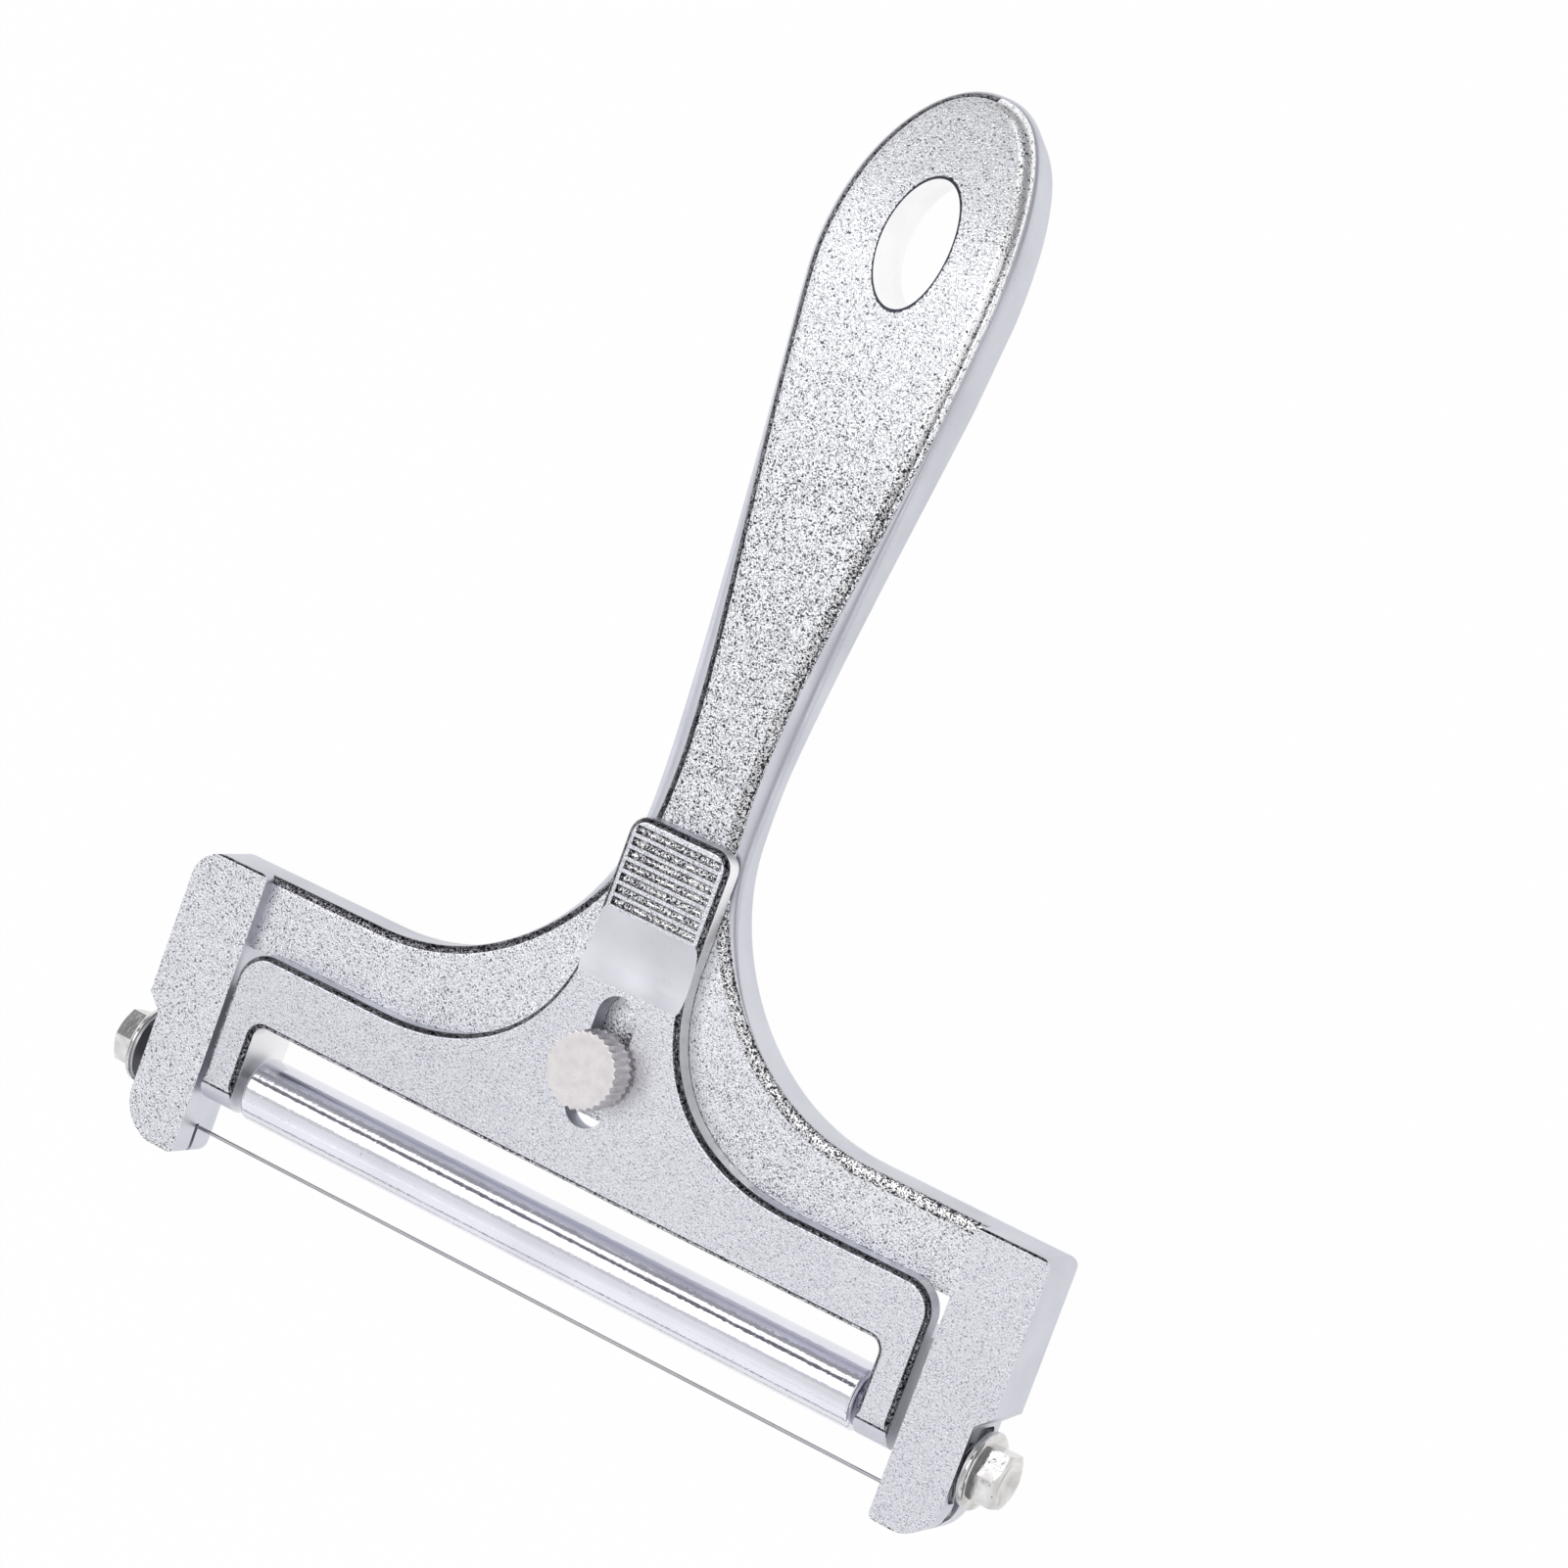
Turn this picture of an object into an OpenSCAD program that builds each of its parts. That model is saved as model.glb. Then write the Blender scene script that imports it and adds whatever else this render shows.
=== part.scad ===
// Wire cheese slicer with an adjustable roller guide.
// A plated zinc casting holds a cutting wire between two arms. A roller bracket
// slides on the casting's front under a knurled thumb screw and sets the slice.
// Local axes: X along the wire, Y toward the handle's end, Z out of the front.
// Local zero: the crossbar's lower edge, at the middle of the arms' depth.

/* [Arms] */
// Clear distance between the two arms
arm_gap = 110; // [108.6:0.1:125]
// Width of one arm seen from the front
arm_w = 11; // [10.6:0.1:14]
// Depth of an arm from front to back
arm_depth = 8.1; // [7.8:0.1:10]
// Height of the arms' top above the crossbar's lower edge
arm_top = 10; // [9:0.1:11]
// Drop of the arms' ends below the crossbar's lower edge
arm_drop = 29.3; // [28:0.1:34]
// Radius of the left arm's upper outer corner, seen from the front
left_corner_r = 4.2; // [2:0.1:5]
// Radius of the right arm's upper outer corner, which came out sharper
right_corner_r = 1.4; // [0.8:0.1:5]
// Radius of the arm's inner corners
arm_inner_r = 1; // [0.5:0.1:2]
// Radius of the arm's lower outer corner
arm_end_r = 5.9; // [4:0.1:6.2]
// Step from the arm's outer face in to the screw's seat
seat_step = 2.1; // [1:0.1:2.4]
// Distance from the crossbar's lower edge down to the seat
seat_drop = 12.8; // [11:0.1:13]
// Height of the sloped ledge above the seat
ledge_h = 2; // [1:0.1:3]

/* [Crossbar and handle] */
// Height of the arms' front face over the crossbar's front face
front_step = 1.85; // [1:0.05:2.2]
// Thickness of the crossbar
bar_t = 6.15; // [5:0.05:6.6]
// Thickness of the handle's neck
neck_t = 4.4; // [4:0.1:6]
// Thickness of the handle at its widest place
grip_t = 7.8; // [5:0.1:8.6]
// Half width of the handle's neck
neck_half = 7.9; // [7:0.1:9.5]
// Height of the neck's narrowest place above the crossbar's lower edge
neck_y = 40; // [38:0.5:50]
// Half width of the handle at its widest place
grip_half = 13.7; // [11:0.1:17]
// Distance from the handle's end down to its widest place
grip_drop = 25.4; // [20:0.2:30]
// Height of the handle's end above the crossbar's lower edge
grip_end = 138.4; // [134:0.1:150]
// Half width of the foot of the flares on the crossbar
flare_half = 38; // [30:0.5:48]
// Place along the handle where it starts to curve down
curl_y = 108; // [100:1:115]
// Radius of the handle's downward curve
curl_r = 52; // [46:1:90]
// Fall of the front face between the neck and the start of the curve
grip_fall = 0.35; // [0:0.05:1.5]
// Half width of the hanging hole
hang_half_w = 4.75; // [3:0.05:6.5]
// Half length of the hanging hole
hang_half_l = 8.5; // [6:0.1:10.5]
// Distance from the handle's end down to the middle of the hanging hole
hang_drop = 21.2; // [18:0.1:26]

/* [Roller bracket] */
// Width of one bracket leg
leg_w = 4.95; // [4:0.05:6]
// Depth of a leg from front to back
leg_depth = 10.2; // [9:0.1:12]
// Distance from the crossbar's lower edge down to the legs' ends
leg_drop = 20.9; // [20:0.1:22]
// Radius of a leg's rounded end, seen from the side
leg_end_r = 4.2; // [2:0.1:4.8]
// Distance from the crossbar's lower edge down to the legs' deep part
leg_shoulder = 5.7; // [5.6:0.1:7]
// Thickness of the bracket's plate
plate_t = 2.9; // [2.4:0.1:3.4]
// Height of the plate's upper edge above the crossbar's lower edge
plate_top = 0.8; // [0:0.1:2]
// Distance from the crossbar's lower edge down to the plate's lower edge
plate_drop = 8.3; // [7.6:0.1:9.4]
// Radius of the plate's upper outer corners
plate_corner_r = 4.3; // [2.5:0.1:5]
// Radius of the notch's corners
notch_r = 1.6; // [0.8:0.1:2.4]
// Rounding of the bracket's front edges
plate_edge_r = 0.9; // [0.4:0.1:1.1]
// Half width of the thumb tab
tab_half = 7.6; // [7:0.1:8.5]
// Height of the tab's end above the crossbar's lower edge
tab_top = 38.7; // [37:0.1:44]
// Radius of the tab's corners
tab_corner_r = 2.6; // [1.5:0.1:4]
// Half width of the plate's flare at its foot
plate_flare_half = 32; // [24:0.5:40]
// Width of the clamp slot
slot_w = 5.9; // [5:0.1:7]
// Length of the clamp slot, end to end
slot_l = 17.6; // [15:0.1:19]
// Distance from the crossbar's lower edge down to the slot's lower end
slot_drop = 1.1; // [0.6:0.1:1.2]
// Number of grip ribs on the tab
rib_count = 6; // [3:1:6]
// Pitch of the grip ribs
rib_pitch = 1.6; // [1.2:0.05:1.7]
// Radius of the grooves between the ribs
rib_groove_r = 0.55; // [0.3:0.05:0.6]
// Length of the thumb hollow below the ribs
scoop_l = 9; // [6:0.1:9.4]
// Depth of the thumb hollow
scoop_depth = 0.8; // [0.3:0.1:1.2]

/* [Roller] */
// Diameter of the roller
roller_d = 8.8; // [7:0.1:9]
// Distance from the crossbar's lower edge down to the roller's axis
roller_drop = 17; // [16.8:0.1:17.4]
// Length of the bevel at each end of the roller
roller_bevel = 0.7; // [0.3:0.1:1.2]
// Diameter of the roller's axle
axle_d = 3; // [2:0.1:4]
// Depth of the axle's blind hole in each leg
axle_seat = 3.2; // [2:0.1:3.6]

/* [Wire] */
// Diameter of the cutting wire
wire_d = 0.5; // [0.4:0.05:0.6]
// Distance from the crossbar's lower edge down to the wire
wire_drop = 25.5; // [25.2:0.1:26.5]
// Turns of the wire round each tension screw
wire_turns = 2.2; // [1.6:0.1:2.4]

/* [Screws] */
// Thread diameter of the screws
screw_d = 4; // [3:0.5:4.5]
// Distance from the crossbar's lower edge down to the tension screws
screw_drop = 18.4; // [18.2:0.1:19]
// Width across the flats of a tension screw's head
hex_flats = 7; // [6:0.1:7.6]
// Height of a tension screw's hexagon
hex_h = 3.2; // [2:0.1:4]
// Diameter of a tension screw's flange
flange_d = 10.5; // [10:0.1:10.8]
// Thickness of a tension screw's flange
flange_t = 0.8; // [0.6:0.05:1.3]
// Diameter of a washer
washer_d = 10; // [9:0.1:10.4]
// Thickness of a washer
washer_t = 0.4; // [0.3:0.05:0.8]
// Diameter of the thumb screw's knob
knob_d = 10.3; // [8:0.1:12]
// Height of the thumb screw's knob
knob_h = 4.6; // [3:0.1:6]
// Height of the thumb screw above the crossbar's lower edge
knob_y = 6.8; // [6.4:0.1:7]
// Number of flutes round the knob
flute_count = 30; // [16:1:36]

/* [Clearances] */
// Gap between each leg of the bracket and the arm beside it
leg_gap = 1.1; // [0.8:0.1:3]
// Gap between the plate and the crossbar, and between the plate and the knob
slide_gap = 0.1; // [0.05:0.05:0.2]
// Gap at each end of the roller
roller_gap = 0.9; // [0.3:0.05:1.2]
// Radial gap of shafts and screws in their holes
fit_gap = 0.05; // [0.02:0.01:0.1]
// Gap between the wire and what it passes
wire_gap = 0.1; // [0.05:0.05:0.2]

/* [Hidden] */

// One overrun serves every cut.
over = 1;
// Sides of a round part, points on a corner, and steps of an edge rounding
round_n = 96;
corner_n = 8;
edge_n = 3;
// Points along the handle's end, its side, its flare and the bar
tip_n = 18;
side_n = 20;
flare_n = 18;
bar_n = 3;

// Arms
arm_in = arm_gap / 2;
arm_out = arm_in + arm_w;
seat_x = arm_out - seat_step;
arm_half = arm_depth / 2;
// Edge roundings of an arm seen from the side: front, back, and lower back
arm_front_r = 0.4;
arm_back_r = 0.9;
arm_heel_r = 2;

// Crossbar and handle
bar_front = arm_half - front_step;
grip_y = grip_end - grip_drop;
hang_y = grip_end - hang_drop;
bar_x = arm_in + arm_w / 2;
// How far the casting is flat at the front, and where the neck begins
bar_zone = 14;
neck_zone = 50;
grip_zone = 100;
flat_end = 60;
// Half width of the flat on the handle's end
tip_flat = 0.4;
// Reach of the outline's curves, as shares of their length
tip_share = 0.64;
tip_side_share = 0.56;
side_share = 0.1;
neck_share = 0.3;
flare_share = 0.5;
foot_share = 0.6;
// Edge of the casting at the bar, neck and grip: width of the grained shoulder,
// inset and depth of the crease under it, drop to the fullest place, heel radius
bar_edge = [1.7, 0.1, 0.5, 0.5, 0.8];
neck_edge = [1.7, 2.3, 0.5, 1.4, 1.9];
grip_edge = [1.9, 0.75, 1.2, 1.4, 1.3];
hang_n = 72;

// Bracket
bracket_half = arm_in - leg_gap;
leg_in = bracket_half - leg_w;
leg_half = leg_depth / 2;
plate_back = bar_front + slide_gap;
plate_front = plate_back + plate_t;
// The legs' deep part stands back a hair from the plate's own sides
leg_relief = 0.05;
// Height where the tongue becomes the straight tab
tab_root = 23;
tongue_share = 0.62;
tongue_foot_share = 0.62;
tongue_n = 16;
// The grip panel leaves a rim round the ribs
rib_rim = 1.2;
rib_inset = 1.9;
rib_top = tab_top - rib_inset;
scoop_land = 0.4;
scoop_y = rib_top - rib_count * rib_pitch - rib_groove_r - scoop_land - scoop_l / 2;

// Roller
roller_y = -roller_drop;
roller_r = roller_d / 2;
axle_r = axle_d / 2;
roller_half = leg_in - roller_gap;
axle_half = leg_in + axle_seat - fit_gap;

// Thumb screw
thread_r = screw_d / 2;
knob_base = plate_front + slide_gap;
knob_skirt = 0.5;
flute_depth = 0.3;
// Hidden end of the thread, short of the crossbar's back
tip_inset = 0.5;

// Tension screws: the thread stops short of the arm's inner wall
screw_y = -screw_drop;
arm_web = 1.5;
thread_end = arm_in + arm_web + 4 * fit_gap;

// Wire route: through the slit, up the outer rebate, round the screw
wire_r = wire_d / 2;
wire_y = -wire_drop;
slit_w = wire_d + 2 * wire_gap;
rebate_depth = 1;
rebate_front = 3.3;
rebate_back = -thread_r - wire_d - 3 * wire_gap;
rebate_lip = 0.5;
rebate_top = seat_drop + rebate_lip;
rebate_reach = 5;
rebate_low = screw_drop + rebate_reach;
rebate_r = 0.9;
channel_half = 1;
bend_r = 0.5;
climb_x = seat_x - rebate_depth + wire_r + wire_gap;
coil_r = thread_r + wire_r + wire_gap;
coil_pitch = wire_d + wire_gap / 2;
climb_share = 0.4;
bend_n = 6;
climb_n = 8;
coil_n = 18;
wire_n = 10;
washer_x = climb_x + wire_turns * coil_pitch + wire_r + wire_gap;
flange_x = washer_x + washer_t;
hex_x = flange_x + flange_t;

// Tension screw heads
hex_r = hex_flats / sqrt(3);
hex_turn = 24;
hex_bevel = 0.5;
dish_r = 2.8;
dish_depth = 0.6;

function lerp(a, b, t) = a + (b - a) * t;
function part_way(a, b, v) = max(0, min(1, (v - a) / (b - a)));
function ease(t) = t * t * (3 - 2 * t);
function unit(v) = v / norm(v);
function flip(p) = [-p[0], p[1]];
function reversed(list) = [for (i = [len(list) - 1 : -1 : 0]) list[i]];
function arc(c, r, from, to) = [for (i = [0 : corner_n])
    let(a = lerp(from, to, i / corner_n)) [c[0] + r * cos(a), c[1] + r * sin(a)]];
// Cubic curve through four control points
function cubic(p, t) = let(u = 1 - t)
    u ^ 3 * p[0] + 3 * u ^ 2 * t * p[1] + 3 * u * t ^ 2 * p[2] + t ^ 3 * p[3];
function curve(p, n) = [for (i = [0 : n]) cubic(p, i / n)];
function tail(list) = [for (i = [1 : len(list) - 1]) list[i]];

// The handle's outline at its fullest, right half, from the end to the bar.
tip_curve = [[tip_flat, grip_end],
    [lerp(tip_flat, grip_half, tip_share), grip_end],
    [grip_half, lerp(grip_y, grip_end, tip_side_share)], [grip_half, grip_y]];
side_curve = [[grip_half, grip_y],
    [grip_half, lerp(grip_y, neck_y, side_share)],
    [neck_half, lerp(neck_y, grip_y, neck_share)], [neck_half, neck_y]];
bar_rise = 0.15;
flare_curve = [[neck_half, neck_y],
    [neck_half, lerp(neck_y, arm_top, flare_share)],
    [lerp(flare_half, neck_half, foot_share), arm_top + bar_rise],
    [flare_half, arm_top + bar_rise]];
bar_line = [for (i = [1 : bar_n])
    [lerp(flare_half, bar_x, i / bar_n), arm_top + bar_rise * (1 - i / bar_n)]];
handle_edge = concat(curve(tip_curve, tip_n), tail(curve(side_curve, side_n)),
    tail(curve(flare_curve, flare_n)), bar_line, [[bar_x, 0]]);
edge_last = len(handle_edge) - 1;
// Outward direction at each outline point
function turned(v) = [-v[1], v[0]];
function edge_out(i) = i == 0 || i == edge_last - 1 ? [0, 1] : i == edge_last ? [0, 0]
    : unit(turned(unit(handle_edge[i - 1] - handle_edge[i])
        + unit(handle_edge[i] - handle_edge[i + 1])) * -1);

// Front face height, steepness of its fall, and thickness at a place along Y
function curl(y) = max(0, y - curl_y);
function front_z(y) = bar_front - grip_fall * ease(part_way(flat_end, curl_y, y))
    - curl(y) ^ 2 / (2 * curl_r);
function front_slope(y) = curl(y) / curl_r;
function thick(y) = y < neck_zone
    ? lerp(bar_t, neck_t, ease(part_way(bar_zone, neck_zone, y)))
    : lerp(neck_t, grip_t, part_way(neck_zone, grip_zone, y));
// Edge values change from the bar through the neck to the grip
function edge_at(y) = y < neck_zone
    ? lerp(bar_edge, neck_edge, ease(part_way(bar_zone, neck_zone, y)))
    : lerp(neck_edge, grip_edge, ease(part_way(neck_zone, grip_zone, y)));
// Layers of the edge, each as inset in plan and depth below the front: the
// shoulder down to the crease, the side wall out to the fullest, and the heel
function edge_layers(y) = let(e = edge_at(y), t = thick(y)) concat(
    [for (k = [0 : edge_n]) let(a = 90 * k / edge_n)
        [e[1] + e[0] * (1 - sin(a)), e[2] * (1 - cos(a))]],
    [for (k = [1 : edge_n]) let(a = 90 * k / edge_n)
        [e[1] * (1 - sin(a)), e[2] + e[3] * (1 - cos(a))]],
    [for (k = [0 : edge_n]) let(a = 90 * k / edge_n)
        [e[4] * (1 - cos(a)), t - e[4] * (1 - sin(a))]]);
layer_count = 3 * edge_n + 2;
// A point on the casting's skin: outline point, layer, and side
function skin(i, k, side) = let(e = handle_edge[i], lay = edge_layers(e[1])[k],
        p = e - lay[0] * edge_out(i), s = front_slope(p[1]), d = lay[1] / norm([s, 1]))
    [side * p[0], p[1] - d * s, front_z(p[1]) - d];
handle_points = [for (side = [1, -1], k = [0 : layer_count - 1], i = [0 : edge_last])
    skin(i, k, side)];
low_z = min([for (p = handle_points) p[2]]);
high_y = max([for (p = handle_points) p[1]]);
// Plan centre of the whole slicer
mid_y = (high_y - arm_drop) / 2;
ring = edge_last + 1;
function at(i, k, side) = (side > 0 ? 0 : ring * layer_count) + k * ring + i;
function quad(a, b, c, d) = [[a, b, c], [a, c, d]];

// Handle, flares and crossbar: one lofted body
module handle_body() {
    last = layer_count - 1;
    front_cap = [for (i = [0 : edge_last - 1])
        [at(i, 0, 1), at(i + 1, 0, 1), at(i + 1, 0, -1), at(i, 0, -1)]];
    back_cap = [for (i = [0 : edge_last - 1])
        [at(i, last, 1), at(i, last, -1), at(i + 1, last, -1), at(i + 1, last, 1)]];
    right = [for (k = [0 : last - 1], i = [0 : edge_last - 1])
        each quad(at(i, k, 1), at(i, k + 1, 1), at(i + 1, k + 1, 1), at(i + 1, k, 1))];
    left = [for (k = [0 : last - 1], i = [0 : edge_last - 1])
        each quad(at(i, k, -1), at(i + 1, k, -1), at(i + 1, k + 1, -1), at(i, k + 1, -1))];
    tip = [for (k = [0 : last - 1])
        [at(0, k, -1), at(0, k + 1, -1), at(0, k + 1, 1), at(0, k, 1)]];
    foot = [for (k = [0 : last - 1])
        [at(edge_last, k, 1), at(edge_last, k + 1, 1),
            at(edge_last, k + 1, -1), at(edge_last, k, -1)]];
    polyhedron(points = handle_points,
        faces = concat(front_cap, back_cap, right, left, tip, foot), convexity = 8);
}

// Front view of an arm on the right, with its own corner radius
function arm_outline(corner_r) = concat(
    arc([arm_in + arm_inner_r, arm_top - arm_inner_r], arm_inner_r, 180, 90),
    arc([arm_out - corner_r, arm_top - corner_r], corner_r, 90, 0),
    [[arm_out, ledge_h - seat_drop], [seat_x, -seat_drop]],
    arc([seat_x - arm_end_r, arm_end_r - arm_drop], arm_end_r, 0, -90),
    arc([arm_in + arm_inner_r, arm_inner_r - arm_drop], arm_inner_r, -90, -180));
// Side view of an arm: depth across, height up
arm_side = concat(
    arc([arm_half - arm_front_r, arm_top - arm_front_r], arm_front_r, 0, 90),
    arc([arm_back_r - arm_half, arm_top - arm_back_r], arm_back_r, 90, 180),
    arc([arm_heel_r - arm_half, arm_heel_r - arm_drop], arm_heel_r, 180, 270),
    arc([arm_half - arm_front_r, arm_front_r - arm_drop], arm_front_r, -90, 0));

// Turns a side view (depth, height) into a bar along X, centred on X zero
module side_view(width) {
    rotate([90, 0, 90]) translate([0, 0, -width / 2]) linear_extrude(width) children();
}

// Disc or rod along X, from one X to another
module rod_x(from, to, r) {
    translate([from, 0, 0]) rotate([0, 90, 0]) cylinder(h = to - from, r = r, $fn = round_n);
}

module arm(corner_r) {
    intersection() {
        translate([0, 0, -arm_half - over]) linear_extrude(arm_depth + 2 * over)
            polygon(arm_outline(corner_r));
        translate([arm_in + arm_w / 2, 0, 0]) side_view(arm_w + 2 * over)
            polygon([for (p = arm_side) [p[1], p[0]]]);
    }
}

// Rounded rectangle in the seat's plane, spread along Y and Z
module seat_pocket(y_low, y_high, z_low, z_high, r) {
    ys = [y_low + r, y_high - r];
    zs = [z_low + r, z_high - r];
    outline = concat(arc([ys[1], zs[1]], r, 0, 90), arc([ys[0], zs[1]], r, 90, 180),
        arc([ys[0], zs[0]], r, 180, 270), arc([ys[1], zs[0]], r, 270, 360));
    translate([seat_x, 0, 0]) side_view(2 * rebate_depth) polygon(outline);
}

// Everything cut out of the right arm: screw hole, wire slit and rebate
module arm_cuts() {
    translate([0, screw_y, 0]) rod_x(arm_in + arm_web, arm_out + over, thread_r + fit_gap);
    translate([arm_in - over, -arm_drop - over, -slit_w / 2])
        cube([arm_w + 2 * over, arm_drop + over + wire_y + slit_w / 2, slit_w]);
    seat_pocket(-rebate_low, -rebate_top, rebate_back, rebate_front, rebate_r);
    seat_pocket(wire_y - channel_half, screw_y, -channel_half, channel_half,
        channel_half * 0.9);
}

module hanging_hole() {
    translate([0, hang_y, low_z - over]) linear_extrude(bar_front - low_z + 2 * over)
        polygon([for (i = [0 : hang_n - 1]) let(a = 360 * i / hang_n)
            [hang_half_w * cos(a), hang_half_l * sin(a)]]);
}

module frame() {
    color("Silver") difference() {
        union() {
            handle_body();
            arm(right_corner_r);
            mirror([1, 0, 0]) arm(left_corner_r);
        }
        arm_cuts();
        mirror([1, 0, 0]) arm_cuts();
        hanging_hole();
        translate([0, knob_y, bar_front - bar_t - over])
            cylinder(h = bar_t + 2 * over, r = thread_r + fit_gap, $fn = round_n);
    }
}

// Front view of the bracket, right half, from the tab's end round to the notch
tongue_curve = [[tab_half, tab_root], [tab_half, lerp(tab_root, plate_top, tongue_share)],
    [lerp(plate_flare_half, tab_half, tongue_foot_share), plate_top],
    [plate_flare_half, plate_top]];
bracket_right = concat(
    arc([tab_half - tab_corner_r, tab_top - tab_corner_r], tab_corner_r, 90, 0),
    curve(tongue_curve, tongue_n),
    arc([bracket_half - plate_corner_r, plate_top - plate_corner_r], plate_corner_r, 90, 0),
    [[bracket_half, -leg_drop - over], [leg_in, -leg_drop - over]],
    arc([leg_in - notch_r, -plate_drop - notch_r], notch_r, 0, 90));
bracket_outline = concat(bracket_right, [for (p = reversed(bracket_right)) flip(p)]);

// Outline moved inward by a distance, along the mean direction at each corner
function inward(list, d) = let(n = len(list)) [for (i = [0 : n - 1])
    let(a = unit(list[i] - list[(i + n - 1) % n]), b = unit(list[(i + 1) % n] - list[i]),
        m = unit(a + b))
    list[i] - d * turned(m) / max(0.7, m * b)];

// A face's points in the other sense, from the same first point
function turned_over(list) = concat([list[0]], reversed(tail(list)));

// Plate with rounded front edges: rings of the outline from back to front. Its
// two faces are laid in strips across the tab, then one piece under it. On each
// side one piece goes out along the bar, seen whole from the notch's end, and one
// goes down the leg, seen whole from the end of the outer corner.
module soft_plate(outline, z_back, z_front, r) {
    n = len(outline);
    half = len(bracket_right);
    foot = corner_n + tongue_n - 1;
    outer = 2 * corner_n + tongue_n + 2;
    face = concat([for (i = [0 : foot - 1]) [i, i + 1, n - 2 - i, n - 1 - i]],
        [[foot, half - 1, half, n - 1 - foot]],
        [concat([half - 1], [for (i = [foot : outer]) i]), [for (i = [outer : half - 1]) i]],
        [concat([half], [for (i = [n - 1 - outer : n - 1 - foot]) i])],
        [concat([n - 1 - outer], [for (i = [half : n - 2 - outer]) i])]);
    rings = concat([[0, z_back]], [for (k = [0 : edge_n]) let(a = 90 * k / edge_n)
        [r * (1 - cos(a)), z_front - r * (1 - sin(a))]]);
    last = len(rings) - 1;
    points = [for (g = rings) each [for (p = inward(outline, g[0])) [p[0], p[1], g[1]]]];
    sides = [for (k = [0 : last - 1], i = [0 : n - 1]) let(j = (i + 1) % n)
        each quad(k * n + i, k * n + j, (k + 1) * n + j, (k + 1) * n + i)];
    polyhedron(points = points, faces = concat(sides, [for (f = face) turned_over(f)],
        [for (f = face) [for (i = f) last * n + i]]), convexity = 8);
}

// The deep part of the right leg, behind the plate's rounded edges
module leg_block() {
    difference() {
        translate([leg_in + leg_relief, -leg_drop - over, -leg_half])
            cube([leg_w - 2 * leg_relief, leg_drop + over - leg_shoulder,
                leg_half + plate_back + plate_t / 2]);
        translate([0, roller_y, 0]) rod_x(leg_in - over, leg_in + axle_seat, axle_r + fit_gap);
    }
}

// Cut below the legs: it leaves their ends rounded about X, front and back
module leg_end_cut() {
    side_view(2 * (bracket_half + over)) polygon(concat(
        [[-leg_drop - 2 * over, plate_front + over], [leg_end_r - leg_drop, plate_front + over]],
        arc([leg_end_r - leg_drop, plate_front - leg_end_r], leg_end_r, 90, 180),
        arc([leg_end_r - leg_drop, leg_end_r - leg_half], leg_end_r, 180, 270),
        [[leg_end_r - leg_drop, -leg_half - over], [-leg_drop - 2 * over, -leg_half - over]]));
}

module clamp_slot() {
    r = slot_w / 2;
    translate([0, 0, plate_back - over]) linear_extrude(plate_t + 2 * over) {
        translate([0, r - slot_drop]) circle(r, $fn = round_n);
        translate([0, slot_l - slot_drop - r]) circle(r, $fn = round_n);
        translate([-r, r - slot_drop]) square([slot_w, slot_l - slot_w]);
    }
}

// Grooves that leave the grip ribs, and the thumb hollow under them
module tab_relief() {
    half = tab_half - rib_rim;
    for (i = [0 : rib_count])
        translate([0, rib_top - i * rib_pitch, plate_front])
            rod_x(-half, half, rib_groove_r);
    scoop_r = (scoop_l ^ 2 / 4 + scoop_depth ^ 2) / (2 * scoop_depth);
    translate([0, scoop_y, plate_front - scoop_depth + scoop_r])
        rod_x(-plate_flare_half, plate_flare_half, scoop_r);
}

module roller_bracket() {
    color("Gainsboro") difference() {
        union() {
            soft_plate(bracket_outline, plate_back, plate_front, plate_edge_r);
            leg_block();
            mirror([1, 0, 0]) leg_block();
        }
        leg_end_cut();
        clamp_slot();
        tab_relief();
    }
}

module roller() {
    low = axle_r + fit_gap;
    color("LightSteelBlue") translate([0, roller_y, 0]) rotate([0, 90, 0])
        rotate_extrude($fn = round_n) polygon([[low, -roller_half],
            [roller_r - roller_bevel, -roller_half], [roller_r, roller_bevel - roller_half],
            [roller_r, roller_half - roller_bevel], [roller_r - roller_bevel, roller_half],
            [low, roller_half]]);
}

module roller_axle() {
    color("DimGray") translate([0, roller_y, 0]) rod_x(-axle_half, axle_half, axle_r);
}

module thumb_screw() {
    step = 360 / (2 * flute_count);
    rim = [for (i = [0 : 2 * flute_count - 1]) let(r = knob_d / 2 - (i % 2) * flute_depth)
        each [r * [cos(step * (i - 0.2)), sin(step * (i - 0.2))],
            r * [cos(step * (i + 0.2)), sin(step * (i + 0.2))]]];
    tip_z = bar_front - bar_t + tip_inset;
    color("Lavender") translate([0, knob_y, 0]) {
        translate([0, 0, knob_base + knob_skirt]) linear_extrude(knob_h - knob_skirt)
            polygon(rim);
        translate([0, 0, knob_base])
            cylinder(h = 2 * knob_skirt, r = knob_d / 2 - 2 * flute_depth, $fn = round_n);
        translate([0, 0, tip_z]) cylinder(h = knob_base + knob_skirt - tip_z, r = thread_r,
            $fn = round_n);
    }
}

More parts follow.
